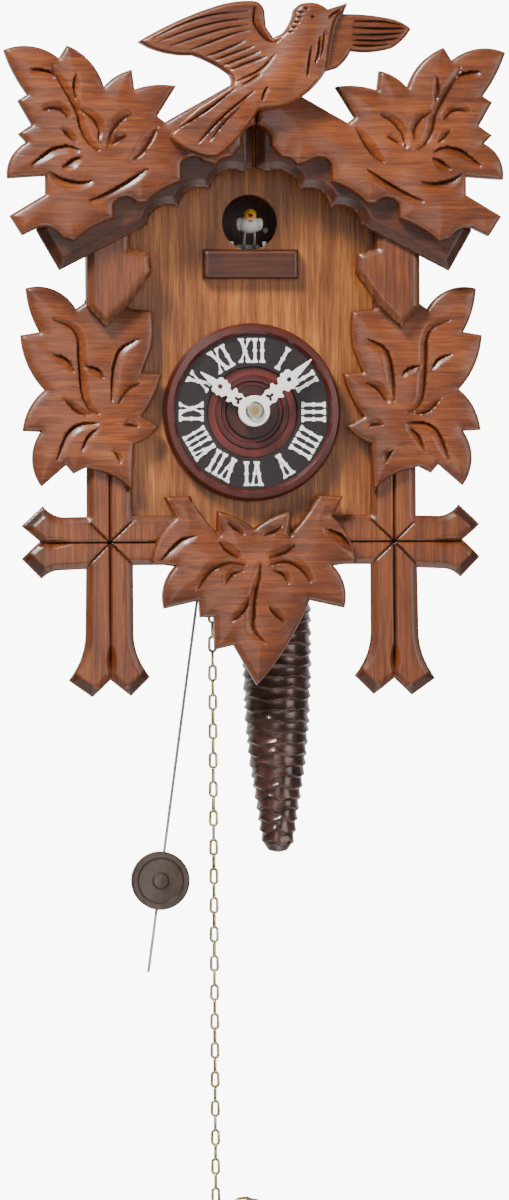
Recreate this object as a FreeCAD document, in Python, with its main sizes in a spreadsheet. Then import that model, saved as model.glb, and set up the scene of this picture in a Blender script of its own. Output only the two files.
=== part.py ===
"""Small one-day cuckoo clock: carved case, chain-driven movement, pendulum and pine-cone weight.

Millimetres. +Z is up, the front faces -Y and the wall plane is y = 0. The origin is the hole of the
hanger plate, on the wall plane. Every y in the sheet below is a distance in front of the wall.
"""
import FreeCAD
import Part

import math
import os

Vector = FreeCAD.Vector
X_AXIS = Vector(1, 0, 0)
Y_AXIS = Vector(0, 1, 0)
Z_AXIS = Vector(0, 0, 1)

doc = FreeCAD.newDocument("CuckooClock")
sheet = doc.addObject("Spreadsheet::Sheet", "Sizes")

SIZES = {
    "case_half_width": 32.5, "case_floor": 121.0, "wall_thickness": 3.5,
    "plate_depth": 2.0, "panel_front": 6.0, "panel_thickness": 4.0,
    "board_back": 47.0, "board_thickness": 5.0,
    "opening_radius": 9.45, "opening_drop": 6.4,
    "hanger_bore": 2.5, "hanger_width": 26.0, "hanger_height": 17.0,
    "roof_length": 64.0, "roof_rise": 34.0,
    "fascia_back": 66.0, "fascia_thickness": 4.0,
    "branch_back": 70.0, "branch_thickness": 7.0,
    "crest_back": 77.0, "crest_thickness": 9.0,
    "cross_back": 52.0, "cross_thickness": 4.0,
    "leaf_back": 56.0, "leaf_thickness": 5.0, "bottom_leaf_thickness": 7.0,
    "post_back": 61.0, "post_thickness": 5.0,
    "rail_thickness": 5.0,
    "dial_radius": 30.2, "dial_drop": 71.2, "arbor_drop": 71.0,
    "numeral_back": 57.3, "numeral_thickness": 0.4,
    "hour_back": 60.4, "minute_back": 62.2, "hand_thickness": 0.7,
    "hub_back": 63.1, "hub_radius": 5.3, "nut_radius": 3.15,
    "front_plate_back": 39.5, "back_plate_back": 17.0, "plate_thickness": 1.5,
    "pillar_radius": 2.2, "pillar_across": 23.0, "pillar_high": 30.0, "pillar_low": 112.0,
    "chain_front": 29.0, "strand_offset": 11.14, "chain_radius": 1.6,
    "great_drop": 100.0, "third_across": 4.3, "third_drop": 55.75, "escape_drop": 42.0,
    "pivot_drop": 28.8, "swing_at_rest": 7.85, "rod_radius": 0.5, "rod_length": 237.4,
    "bob_distance": 205.4, "bob_radius": 10.15, "pendulum_front": 12.0,
    "motion_across": 12.0, "screw_radius": 1.2,
}
for row, (name, value) in enumerate(SIZES.items(), start=1):
    sheet.set("A%d" % row, name)
    sheet.set("B%d" % row, str(value))
    sheet.setAlias("B%d" % row, name)
doc.recompute()

parts = []


def size(name):
    """A driving dimension, read back from the sheet."""
    return float(getattr(sheet, name))


def keep(obj, label):
    obj.Label = label
    parts.append(obj)
    return obj


def bind(obj, **links):
    """Bind properties of an object to expressions over the sheet."""
    for prop, text in links.items():
        obj.setExpression(prop.replace("__", "."), text)


def axis_plane(body, role):
    for feature in body.Origin.OriginFeatures:
        if feature.Role == role:
            return feature
    raise ValueError(role)


def edges_of(points, to_vector):
    """Closed edges through points; a third value in a point bows the edge that arrives at it."""
    edges = []
    for index, point in enumerate(points):
        before = points[index - 1]
        start, end = to_vector(before), to_vector(point)
        if len(point) == 2:
            edges.append(Part.LineSegment(start, end))
            continue
        run_x, run_z = point[0] - before[0], point[1] - before[1]
        length = math.hypot(run_x, run_z)
        middle = ((point[0] + before[0]) / 2 - run_z / length * point[2],
                  (point[1] + before[1]) / 2 + run_x / length * point[2])
        edges.append(Part.Arc(start, to_vector(middle), end))
    return edges


def sketch_on(body, role, points, holes=()):
    sketch = body.newObject("Sketcher::SketchObject", body.Name + "_outline")
    sketch.AttachmentSupport = [(axis_plane(body, role), "")]
    sketch.MapMode = "FlatFace"
    sketch.addGeometry(edges_of(points, lambda p: Vector(p[0], p[1], 0)), False)
    for hole_x, hole_z, radius in holes:
        sketch.addGeometry(Part.Circle(Vector(hole_x, hole_z, 0), Z_AXIS, radius), False)
    return sketch


def flat_piece(label, points, back, thickness, holes=(), across=0.0, height=0.0, spin=0.0, kept=True):
    """A piece cut from sheet: an outline in x and z, padded forwards from its back face."""
    body = doc.addObject("PartDesign::Body", label)
    sketch = sketch_on(body, "XZ_Plane", points, holes)
    pad = body.newObject("PartDesign::Pad", label + "_pad")
    pad.Profile = sketch
    bind(pad, Length=thickness)
    body.Placement = FreeCAD.Placement(Vector(across, 0, height), FreeCAD.Rotation(Y_AXIS, spin))
    bind(body, Placement__Base__y="-(%s)" % back)
    if kept:
        keep(body, label)
    return body


def turned_piece(label, profile, across=0.0, height=0.0, back=0.0, kept=True):
    """A turned piece: profile points are radius and forward distance, spun about a line along Y."""
    body = doc.addObject("PartDesign::Body", label)
    sketch = sketch_on(body, "XY_Plane", [(point[0], -point[1]) for point in profile])
    turn = body.newObject("PartDesign::Revolution", label + "_turn")
    turn.Profile = sketch
    turn.ReferenceAxis = (sketch, ["V_Axis"])
    turn.Angle = 360.0
    body.Placement.Base = Vector(across, -back, height)
    if kept:
        keep(body, label)
    return body


def rod_y(name, radius, front, back, across=0.0, height=0.0):
    """A round rod along Y from one distance in front of the wall to another."""
    rod = doc.addObject("Part::Cylinder", name)
    rod.Radius = radius
    rod.Height = front - back
    rod.Placement = FreeCAD.Placement(Vector(across, -back, height), FreeCAD.Rotation(X_AXIS, 90))
    return rod


def block(name, low, high):
    box = doc.addObject("Part::Box", name)
    box.Length, box.Width, box.Height = [high[i] - low[i] for i in range(3)]
    box.Placement.Base = Vector(*low)
    return box


def fused(label, pieces):
    joined = doc.addObject("Part::MultiFuse", label)
    joined.Shapes = pieces
    return keep(joined, label)


def cut(label, base, tools):
    tool = tools[0]
    if len(tools) > 1:
        tool = doc.addObject("Part::MultiFuse", label + "_holes")
        tool.Shapes = tools
    result = doc.addObject("Part::Cut", label)
    result.Base = base
    result.Tool = tool
    return keep(result, label)


def grouped(label, pieces):
    """Several separate solids that are one fastener or link group."""
    group = doc.addObject("Part::Compound", label)
    group.Links = pieces
    return keep(group, label)


def mirrored(points):
    """The other hand of an outline: bows change sign with x."""
    return [(-p[0], p[1]) + tuple(-bow for bow in p[2:]) for p in points]


def both_hands(name, points, back, thickness, shift=0.0):
    for side, sign in (("right", 1), ("left", -1)):
        outline = points if sign > 0 else mirrored(points)
        flat_piece("%s_%s" % (name, side), outline, back, thickness, across=sign * shift)


# ---------------------------------------------------------------- case
ROOF_SLOPE = 0.5704          # fall of the roof per millimetre of x
ROOF_GAP = 0.3               # boards stop this far under the roof


def roof_under(x):
    return size("roof_rise") - ROOF_SLOPE * abs(x)


def case_boards():
    half, floor = size("case_half_width"), -size("case_floor")
    inner = half - size("wall_thickness")
    wall = [(inner, floor), (inner, roof_under(inner) - ROOF_GAP),
            (half, roof_under(half) - ROOF_GAP), (half, floor)]
    for side, points in (("right", wall), ("left", mirrored(wall))):
        flat_piece("side_board_" + side, points, "Sizes.panel_front",
                   "Sizes.board_back - Sizes.panel_front")
    panel = [(-half, floor), (-half, roof_under(half) - ROOF_GAP), (0, roof_under(0) - ROOF_GAP),
             (half, roof_under(half) - ROOF_GAP), (half, floor)]
    blank = flat_piece("panel_blank", panel, "Sizes.plate_depth", "Sizes.panel_thickness",
                       holes=[(x, z, 1.0) for x in (-10.5, 10.5) for z in (-6, 6)], kept=False)
    cut("back_panel", blank, [rod_y("nail_pocket", 4.5, size("panel_front") - 1, 1.0)])
    roof = [(0, size("roof_rise")), (0, size("roof_rise") + 4.6),
            (71, roof_under(71) + 4.6), (69, roof_under(69))]
    for side, points in (("right", roof), ("left", mirrored(roof))):
        flat_piece("roof_board_" + side, points, "Sizes.plate_depth", "Sizes.roof_length")
    width = size("hanger_width") / 2
    height = size("hanger_height") / 2
    hanger = [(-width, -height), (-width, height), (width, height), (width, -height)]
    flat_piece("hanger_plate", hanger, "0", "Sizes.plate_depth",
               holes=[(0, 0, size("hanger_bore"))] + [(x, z, 1.0) for x in (-10.5, 10.5) for z in (-6, 6)])
    screws = []
    for x in (-10.5, 10.5):
        for z in (-6, 6):
            screws.append(rod_y("hanger_screw", 0.95, 8.0, 0.4, x, z))
    grouped("hanger_screws", screws)


def bottom_board():
    """The floor of the case, slotted for the pendulum rod and drilled for the two strands."""
    floor, inner = -size("case_floor"), size("case_half_width") - size("wall_thickness")
    board = block("bottom_blank", (-inner, -size("board_back"), floor), (inner, -size("panel_front"), floor + 3.5))
    bind(board, Length="2 * (Sizes.case_half_width - Sizes.wall_thickness)",
         Width="Sizes.board_back - Sizes.panel_front")
    slot = block("rod_slot", (-20, -16, floor - 1), (20, -8, floor + 5))
    holes = [slot]
    for side in (-1, 1):
        hole = doc.addObject("Part::Cylinder", "strand_hole")
        hole.Radius = 3.2
        hole.Height = 6
        hole.Placement.Base = Vector(side * size("strand_offset"), -size("chain_front"), floor - 1)
        holes.append(hole)
    cut("bottom_board", board, holes)


def front_board():
    half = [(44.0, roof_under(44) - ROOF_GAP), (44.0, -105.0), (33.0, -121.0)]
    points = [(0, roof_under(0) - ROOF_GAP)] + half + [(-x, z) for x, z in reversed(half)]
    holes = [(0, -size("opening_drop"), size("opening_radius")), (0, -size("arbor_drop"), 3.6)]
    blank = flat_piece("board_blank", points, "Sizes.board_back", "Sizes.board_thickness", holes, kept=False)
    drill = size("screw_radius")
    cut("front_board", blank, [rod_y("board_hole", drill, size("board_back") + 3.5, size("board_back") - 1, x, z)
                               for x, z in SCREW_PLACES])
    rail = [(-16.25, -25.7), (-16.25, -15.9), (16.25, -15.9), (16.25, -25.7)]
    flat_piece("perch_rail", rail, "Sizes.board_back + Sizes.board_thickness", "Sizes.rail_thickness")


SCREW_PLACES = [(-14.0, -28.0), (14.0, -28.0), (-14.5, -113.0), (14.5, -113.0)]


def pillar_places():
    across = size("pillar_across")
    return [(x, -z) for x in (-across, across) for z in (size("pillar_high"), size("pillar_low"))]


# ---------------------------------------------------------------- carved work
FASCIA = [(0.3, 38.0), (72.0, -3.0), (74.0, -10.3), (66.2, -23.8), (36.4, -8.4), (25.8, -2.5, -3.2),
          (15.0, 3.4, -3.2), (4.3, 9.4, -3.2), (0.3, 11.0)]
BRANCH_AND_LEAF = [
    (0.3, 43.0), (31.0, 25.6), (33.4, 27.6), (27.0, 37.8), (41.1, 36.6, 0.9), (41.9, 43.2), (51.4, 37.5, 0.9),
    (63.8, 51.2, 2.2), (66.5, 46.9), (84.9, 49.6, 2.6), (77.1, 34.8, 0.7), (80.3, 32.7), (75.7, 24.7),
    (80.2, 21.6), (77.5, 18.8), (83.9, 6.7, 2.2), (71.2, 7.6), (71.2, 1.4), (83.2, -5.8), (79.0, -12.4),
    (73.4, -9.7), (65.6, -13.0, -1.5), (61.7, -14.3), (48.3, -6.6, -0.9), (48.3, -2.2), (40.5, -1.6, -2.4),
    (37.3, -1.3), (25.5, 5.8, -0.9), (25.5, 11.0), (18.0, 12.6, -2.2), (13.6, 11.5), (8.5, 14.0, -0.8),
    (5.0, 18.0), (0.3, 25.0, -1.6)]
SIDE_LEAF = [
    (43.5, -35.0), (44.0, -29.0), (55.5, -29.0), (57.1, -34.2), (60.0, -36.2), (76.9, -29.2, 3.2),
    (72.4, -44.0, 0.9), (78.8, -45.1), (70.8, -63.6, 1.8), (78.2, -77.5, 1.6), (72.2, -77.8),
    (71.9, -96.3, 3.0), (63.6, -89.1), (61.0, -92.0), (56.9, -89.9), (53.3, -90.8), (41.2, -98.1, -1.2),
    (40.4, -82.0), (32.0, -76.0, 0.9), (37.9, -72.7), (31.0, -58.1, 1.0), (37.5, -57.8), (34.3, -49.6),
    (34.2, -36.9, 0.6), (41.2, -36.3)]
UPPER_POST = [
    (42.0, 6.0), (42.0, -16.0), (35.4, -17.6), (34.7, -24.4), (42.2, -34.9), (50.3, -42.9), (56.6, -36.0),
    (56.6, -1.5)]
CROSS_FRAME = [
    (42.5, 9.0), (56.3, 1.2), (56.3, -106.4), (64.3, -106.6), (71.2, -102.7, -0.9), (78.5, -109.5),
    (72.3, -114.7), (78.5, -120.6), (71.7, -127.5), (64.8, -124.6, -0.9), (56.6, -124.2), (56.9, -145.0),
    (62.8, -162.0, -1.6), (54.7, -167.7), (48.6, -161.8), (41.6, -167.4), (35.0, -160.9), (40.7, -145.0, -1.6),
    (40.7, -123.0), (17.0, -123.0), (17.0, -106.2), (40.7, -106.2)]
BOTTOM_LEAF_RIGHT = [
    (0.0, -110.8), (12.4, -104.8, 0.8), (12.7, -112.0), (21.7, -99.5, -0.6), (30.5, -99.9), (26.8, -106.8),
    (34.9, -122.5, 1.8), (27.0, -123.5), (30.7, -137.8, 2.0), (18.8, -135.1)]
BOTTOM_LEAF_LEFT = [
    (-7.1, -150.3), (-13.6, -151.8), (-13.8, -140.8), (-18.5, -140.8), (-18.8, -135.1), (-30.7, -137.8),
    (-27.0, -123.5, 2.0), (-34.9, -122.5), (-26.8, -106.8, 1.8), (-30.5, -99.9), (-21.7, -99.5),
    (-12.7, -112.0, -0.6), (-12.4, -104.8), (0.0, -110.8, 0.8)]
CREST_BIRD = [
    (-40.4, 51.9), (-14.9, 63.7, 0.8), (-1.7, 65.7, 0.6), (2.2, 61.2, 1.2), (2.6, 56.9), (4.9, 53.4),
    (7.7, 54.6), (11.9, 62.7, -0.8), (15.8, 64.9, 0.6), (23.2, 62.9, 0.9), (30.4, 65.3), (29.0, 61.7),
    (45.6, 60.1, 0.5), (51.9, 56.8, 0.5), (45.6, 50.4, 0.6), (31.5, 49.3, 0.8), (26.8, 43.5, 0.5), (23.0, 42.4),
    (15.5, 34.2, 0.6), (4.5, 30.0, 0.8), (-0.1, 29.3), (-10.2, 16.4, 0.6), (-13.7, 13.7), (-21.5, 14.7, 0.5),
    (-29.7, 19.6, 0.5), (-29.7, 21.1), (-20.4, 30.4, 0.4), (-9.9, 36.7), (-9.9, 41.2, -0.8),
    (-22.3, 47.6, -0.6), (-36.8, 50.0, 0.8)]


def carved_work():
    both_hands("fascia", FASCIA, "Sizes.fascia_back", "Sizes.fascia_thickness")
    both_hands("branch_leaf", BRANCH_AND_LEAF, "Sizes.branch_back", "Sizes.branch_thickness")
    both_hands("upper_post", UPPER_POST, "Sizes.post_back", "Sizes.post_thickness")
    both_hands("side_leaf", SIDE_LEAF, "Sizes.leaf_back", "Sizes.leaf_thickness")
    both_hands("cross_frame", CROSS_FRAME, "Sizes.cross_back", "Sizes.cross_thickness")
    bottom = BOTTOM_LEAF_RIGHT + [(0.8, -163.9, 1.5)] + BOTTOM_LEAF_LEFT[:-1]
    bottom[0] = BOTTOM_LEAF_LEFT[-1]
    flat_piece("bottom_leaf", bottom, "Sizes.leaf_back", "Sizes.bottom_leaf_thickness")
    flat_piece("crest_bird", CREST_BIRD, "Sizes.crest_back", "Sizes.crest_thickness")


# ---------------------------------------------------------------- dial and hands
MINUTE_ANGLE = 48.4
HOUR_ANGLE = 306.4


def dial():
    """A turned dial: raised rim, chapter ring and a stepped centre, drilled for the hand arbor."""
    edge = size("dial_radius")
    profile = [(3.6, 0.0), (edge, 0.0), (edge, 4.4), (29.2, 7.0), (27.4, 7.4), (26.2, 5.3), (15.6, 5.3),
               (15.2, 4.3), (12.7, 4.3), (12.3, 5.0), (10.7, 5.0), (10.3, 4.3), (9.2, 4.3), (8.8, 5.3), (3.6, 5.3)]
    turned_piece("dial", profile, 0, -size("dial_drop"), size("board_back") + size("board_thickness"))


NUMERALS = ["XII", "I", "II", "III", "IIII", "V", "VI", "VII", "VIII", "IX", "X", "XI"]
NUMERAL_INNER = 16.6
NUMERAL_OUTER = 25.2


def stroke(low, high, width):
    """A straight stroke of a numeral, from low to high (each an x and a distance from the dial centre)."""
    (x0, r0), (x1, r1) = low, high
    return [(x0 - width / 2, r0), (x1 - width / 2, r1), (x1 + width / 2, r1), (x0 + width / 2, r0)]


def numeral_strokes(text):
    """Strokes of one numeral, centred on x = 0, with thick and thin strokes."""
    widths = {"I": 2.0, "V": 3.6, "X": 3.6}
    total = sum(widths[letter] for letter in text)
    low, high = NUMERAL_INNER, NUMERAL_OUTER
    x = -total / 2
    strokes = []
    for letter in text:
        middle = x + widths[letter] / 2
        if letter == "I":
            strokes.append(stroke((middle, low), (middle, high), 1.0))
        if letter == "V":
            strokes.append(stroke((middle, low), (middle - 1.2, high), 1.0))
            strokes.append(stroke((middle, low), (middle + 1.2, high), 0.5))
        if letter == "X":
            strokes.append(stroke((middle + 1.2, low), (middle - 1.2, high), 1.0))
            strokes.append(stroke((middle - 1.2, low), (middle + 1.2, high), 0.5))
        for serif in (low, high - 0.5):
            strokes.append(stroke((middle, serif), (middle, serif + 0.5), widths[letter] - 0.25))
        x += widths[letter]
    return strokes


def dial_numerals():
    """Twelve raised numerals; each is one fused solid on the chapter ring."""
    numerals = []
    depth = size("numeral_thickness")
    for hour, text in enumerate(NUMERALS):
        solids = []
        for points in numeral_strokes(text):
            corners = [Vector(x, 0, z) for x, z in points]
            face = Part.Face(Part.makePolygon(corners + corners[:1]))
            solids.append(face.extrude(Vector(0, -depth, 0)))
        numeral = solids[0].multiFuse(solids[1:]).removeSplitter()
        numeral.rotate(Vector(0, 0, 0), Y_AXIS, 30.0 * hour)
        numerals.append(numeral)
    feature = doc.addObject("Part::Feature", "dial_numerals")
    feature.Shape = Part.makeCompound(numerals)
    feature.Placement.Base = Vector(0, -size("numeral_back"), -size("dial_drop"))
    keep(feature, "dial_numerals")


def hand_outline(length, width, waist):
    """A hand that points up: a round eye, a waist, a pierced leaf and a point."""
    eye = 3.2
    half = [(waist, length * 0.36), (width, length * 0.5), (width * 0.6, length * 0.66),
            (width * 0.8, length * 0.72), (waist * 0.8, length * 0.8)]
    left = [(-x, z) for x, z in reversed(half)]
    return [(waist, eye - 0.2, 0.2 - 2 * eye)] + half + [(0.0, length)] + left + [(-waist, eye - 0.2)]


def hands():
    drop = size("arbor_drop")
    flat_piece("hour_hand", hand_outline(22.6, 3.0, 1.0), "Sizes.hour_back", "Sizes.hand_thickness",
               [(0, 0, 1.9)], 0, -drop, HOUR_ANGLE)
    flat_piece("minute_hand", hand_outline(26.0, 2.6, 0.9), "Sizes.minute_back", "Sizes.hand_thickness",
               [(0, 0, 1.0)], 0, -drop, MINUTE_ANGLE)
    radius, nut = size("hub_radius"), size("nut_radius")
    turned_piece("hand_hub", [(1.1, 0), (radius, 0), (radius, 0.5), (radius - 0.3, 0.8), (1.1, 0.8)],
                 0, -drop, size("hub_back") - 0.2)
    turned_piece("hand_nut", [(1.1, 0), (nut, 0), (nut, 0.9), (nut - 0.6, 1.4), (1.1, 1.4)],
                 0, -drop, size("hub_back") + 0.6)


# ---------------------------------------------------------------- movement
TOOTH_ROOT = 0.22            # half width of a tooth at its root, as a share of the pitch
TOOTH_TIP = 0.10             # the same at its tip
ARBOR = 1.0
PIVOT = 0.6
PIVOT_HOLE = 0.65
PLATE_GAP_BACK = 18.7        # arbors turn between these two distances from the wall
PLATE_GAP_FRONT = 39.3


def wheel_outline(teeth, module, phase, tip=0.8, root=1.1, lean=0.0):
    """Straight-sided teeth round a wheel; phase is the angle in degrees of one tooth."""
    pitch = 360.0 / teeth
    middle = teeth * module / 2
    steps = ((-TOOTH_ROOT, middle - root * module), (-TOOTH_TIP + lean, middle + tip * module),
             (TOOTH_TIP + lean, middle + tip * module), (TOOTH_ROOT, middle - root * module))
    points = []
    for tooth in range(teeth):
        for share, radius in steps:
            angle = math.radians(phase + pitch * (tooth + share))
            points.append((radius * math.cos(angle), radius * math.sin(angle)))
    return points


def wheel(name, teeth, module, back, thickness, centre, phase, bore=0.0, **shape):
    """An unlabelled toothed wheel for a fused part."""
    holes = [(0, 0, bore)] if bore else []
    radius = teeth * module / 2
    if radius > 7:
        reach = radius * 0.56
        for arm in range(5):
            turn = math.radians(72 * arm + 36)
            holes.append((reach * math.cos(turn), reach * math.sin(turn), radius * 0.24))
    return flat_piece(name, wheel_outline(teeth, module, phase, **shape), str(back), str(thickness),
                      holes, centre[0], centre[1], kept=False)


def heading(start, end):
    return math.degrees(math.atan2(end[1] - start[1], end[0] - start[0]))


def meshing(start, end, teeth):
    """Phase of the wheel at end, so that a gap faces a tooth of the wheel at start."""
    return heading(start, end) + 180.0 + 180.0 / teeth


def arbor(name, centre, back_pivot=PIVOT, front_pivot=PIVOT, body=ARBOR):
    """A steel arbor with a pivot in each plate."""
    back_end = size("back_plate_back") + 0.2
    front_end = size("front_plate_back") + 1.3
    return [rod_y(name + "_body", body, PLATE_GAP_FRONT, PLATE_GAP_BACK, *centre),
            rod_y(name + "_back_pivot", back_pivot, PLATE_GAP_BACK, back_end, *centre),
            rod_y(name + "_front_pivot", front_pivot, front_end, PLATE_GAP_FRONT, *centre)]


GREAT_TEETH, IDLER_TEETH, CENTRE_LOW_TEETH = 60, 20, 40
CENTRE_TEETH, THIRD_PINION, THIRD_TEETH, ESCAPE_PINION, ESCAPE_TEETH = 80, 8, 72, 8, 44
LOW_MODULE, HIGH_MODULE = 0.5, 0.36
CANNON_TEETH, MINUTE_TEETH, MINUTE_PINION, HOUR_TEETH = 12, 36, 10, 40
CANNON_MODULE, HOUR_MODULE = 0.5, 0.48


def centres():
    great = (0.0, -size("great_drop"))
    centre = (0.0, -size("arbor_drop"))
    third = (size("third_across"), -size("third_drop"))
    escape = (0.0, -size("escape_drop"))
    pivot = (0.0, -size("pivot_drop"))
    minute = (size("motion_across"), -size("arbor_drop"))
    apart = great[1] - centre[1]
    to_great = LOW_MODULE * (GREAT_TEETH + IDLER_TEETH) / 2
    to_centre = LOW_MODULE * (CENTRE_LOW_TEETH + IDLER_TEETH) / 2
    along = (apart * apart + to_great ** 2 - to_centre ** 2) / (2 * abs(apart))
    idler = (-math.sqrt(to_great ** 2 - along ** 2), great[1] + along)
    return great, centre, third, escape, pivot, minute, idler


def movement_frame():
    great, centre, third, escape, pivot, minute, idler = centres()
    outline = [(-27, -24), (27, -24), (27, -116.5), (-27, -116.5)]
    pillars = [(x, z, 1.2) for x, z in pillar_places()]
    pivots = [(third[0], third[1], PIVOT_HOLE), (escape[0], escape[1], PIVOT_HOLE)]
    front = pillars + pivots + [(great[0], great[1], 1.05), (centre[0], centre[1], 0.55), (pivot[0], pivot[1], 0.65),
                                (minute[0], minute[1], 0.8)]
    front += [(x, z, 1.25) for x, z in SCREW_PLACES]
    back = pillars + pivots + [(great[0], great[1], 1.05), (centre[0], centre[1], 0.65), (pivot[0], pivot[1], 0.85),
                               (idler[0], idler[1], 0.8)]
    flat_piece("movement_front_plate", outline, "Sizes.front_plate_back", "Sizes.plate_thickness", front)
    flat_piece("movement_back_plate", outline, "Sizes.back_plate_back", "Sizes.plate_thickness", back)
    posts, nuts, screws, spacers = [], [], [], []
    for x, z in pillar_places():
        core = rod_y("pillar_core", 1.15, 42.4, 15.6, x, z)
        sleeve = rod_y("pillar_sleeve", size("pillar_radius"), size("front_plate_back"), 18.5, x, z)
        post = doc.addObject("Part::Fuse", "pillar")
        post.Base, post.Tool = core, sleeve
        posts.append(post)
        for back_end in (41.0, 15.7):
            nuts.append(hex_nut(x, z, back_end, back_end + 1.3))
    grouped("movement_pillars", posts)
    grouped("pillar_nuts", nuts)
    for x, z in SCREW_PLACES:
        shank = rod_y("screw_shank", 1.15, 50.3, 39.4, x, z)
        head = rod_y("screw_head", 2.2, 39.4, 38.0, x, z)
        screw = doc.addObject("Part::Fuse", "screw")
        screw.Base, screw.Tool = shank, head
        screws.append(screw)
        tube = doc.addObject("Part::Cut", "spacer")
        tube.Base = rod_y("spacer_outside", 2.3, 47.0, 41.0, x, z)
        tube.Tool = rod_y("spacer_inside", 1.25, 48.0, 40.0, x, z)
        spacers.append(tube)
    grouped("movement_screws", screws)
    grouped("movement_spacers", spacers)
    keep(rod_y("idler_stud", 0.8, 27.0, 17.0, *idler), "idler_stud")
    keep(rod_y("minute_stud", 0.8, 46.5, 39.5, *minute), "minute_stud")


def hex_nut(across, height, back, front):
    prism = doc.addObject("Part::Prism", "nut_blank")
    prism.Polygon = 6
    prism.Circumradius = 2.3
    prism.Height = front - back
    prism.Placement = FreeCAD.Placement(Vector(across, -back, height), FreeCAD.Rotation(X_AXIS, 90))
    nut = doc.addObject("Part::Cut", "nut")
    nut.Base = prism
    nut.Tool = rod_y("nut_hole", 1.15, front + 1, back - 1, across, height)
    return nut


def going_train():
    great, centre, third, escape, pivot, minute, idler = centres()
    chain = size("chain_front")
    sheave = turned_piece("sheave", [(0.5, -2.4), (12.2, -2.4), (12.2, -1.9), (9.2, -1.9), (9.2, 1.9),
                                     (12.2, 1.9), (12.2, 2.4), (0.5, 2.4)], great[0], great[1], chain, kept=False)
    great_blank = wheel("great_blank", GREAT_TEETH, LOW_MODULE, 24.7, 1.5, great, heading(great, idler))
    hub = rod_y("great_hub", 3.0, 26.8, 23.0, *great)
    fused("great_wheel", [sheave, great_blank, hub] + arbor("great", great, 1.0, 1.0, 1.6))
    idler_blank = wheel("idler_wheel", IDLER_TEETH, LOW_MODULE, 24.7, 1.5, idler, meshing(great, idler, IDLER_TEETH),
                        bore=0.85)
    keep(idler_blank, "idler_wheel")
    low = wheel("centre_low", CENTRE_LOW_TEETH, LOW_MODULE, 24.7, 1.5, centre,
                idler_gap_phase(idler, centre))
    high = wheel("centre_high", CENTRE_TEETH, HIGH_MODULE, 35.3, 1.2, centre, heading(centre, third))
    nose = rod_y("centre_nose", 0.5, 64.6, PLATE_GAP_FRONT, *centre)
    back_pivot = rod_y("centre_back_pivot", PIVOT, PLATE_GAP_BACK, 17.2, *centre)
    body = rod_y("centre_body", ARBOR, PLATE_GAP_FRONT, PLATE_GAP_BACK, *centre)
    fused("centre_wheel", [low, high, nose, body, back_pivot])
    third_pinion = wheel("third_pinion", THIRD_PINION, HIGH_MODULE, 34.3, 3.2, third,
                         meshing(centre, third, THIRD_PINION))
    third_blank = wheel("third_blank", THIRD_TEETH, HIGH_MODULE, 21.3, 1.2, third, heading(third, escape))
    fused("third_wheel", [third_pinion, third_blank] + arbor("third", third, body=0.9))
    escape_pinion = wheel("escape_pinion", ESCAPE_PINION, HIGH_MODULE, 20.3, 3.2, escape,
                          meshing(third, escape, ESCAPE_PINION))
    escape_blank = wheel("escape_blank", ESCAPE_TEETH, 0.41, 33.8, 0.8, escape, 0.0, tip=1.1, root=1.6, lean=0.18)
    fused("escape_wheel", [escape_pinion, escape_blank] + arbor("escape", escape, body=0.9))


def idler_gap_phase(idler, centre):
    """Phase of the lower centre wheel, from where the idler's teeth stand on the line between them."""
    great = (0.0, -size("great_drop"))
    pitch = 360.0 / IDLER_TEETH
    first = meshing(great, idler, IDLER_TEETH)
    past = ((heading(idler, centre) - first) / pitch) % 1.0
    return heading(idler, centre) + 180.0 + (0.5 + past) * 360.0 / CENTRE_LOW_TEETH


def motion_work():
    great, centre, third, escape, pivot, minute, idler = centres()
    cannon = wheel("cannon_blank", CANNON_TEETH, CANNON_MODULE, 42.2, 1.4, centre, heading(centre, minute), bore=0.55)
    pipe = turned_piece("cannon_pipe", [(0.55, 0), (1.0, 0), (1.0, 23.4), (0.55, 23.4)],
                        centre[0], centre[1], 41.4, kept=False)
    fused("cannon_pinion", [cannon, pipe])
    minute_blank = wheel("minute_blank", MINUTE_TEETH, CANNON_MODULE, 42.4, 1.0, minute,
                         meshing(centre, minute, MINUTE_TEETH), bore=0.85)
    minute_pinion = wheel("minute_pinion", MINUTE_PINION, HOUR_MODULE, 43.4, 2.8, minute,
                          heading(minute, centre), bore=0.85)
    fused("minute_wheel", [minute_blank, minute_pinion])
    hour_blank = wheel("hour_blank", HOUR_TEETH, HOUR_MODULE, 44.7, 1.0, centre,
                       meshing(minute, centre, HOUR_TEETH), bore=1.05)
    hour_pipe = turned_piece("hour_pipe", [(1.05, 0), (1.9, 0), (1.9, 16.9), (1.05, 16.9)],
                             centre[0], centre[1], 44.2, kept=False)
    fused("hour_wheel", [hour_blank, hour_pipe])


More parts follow.
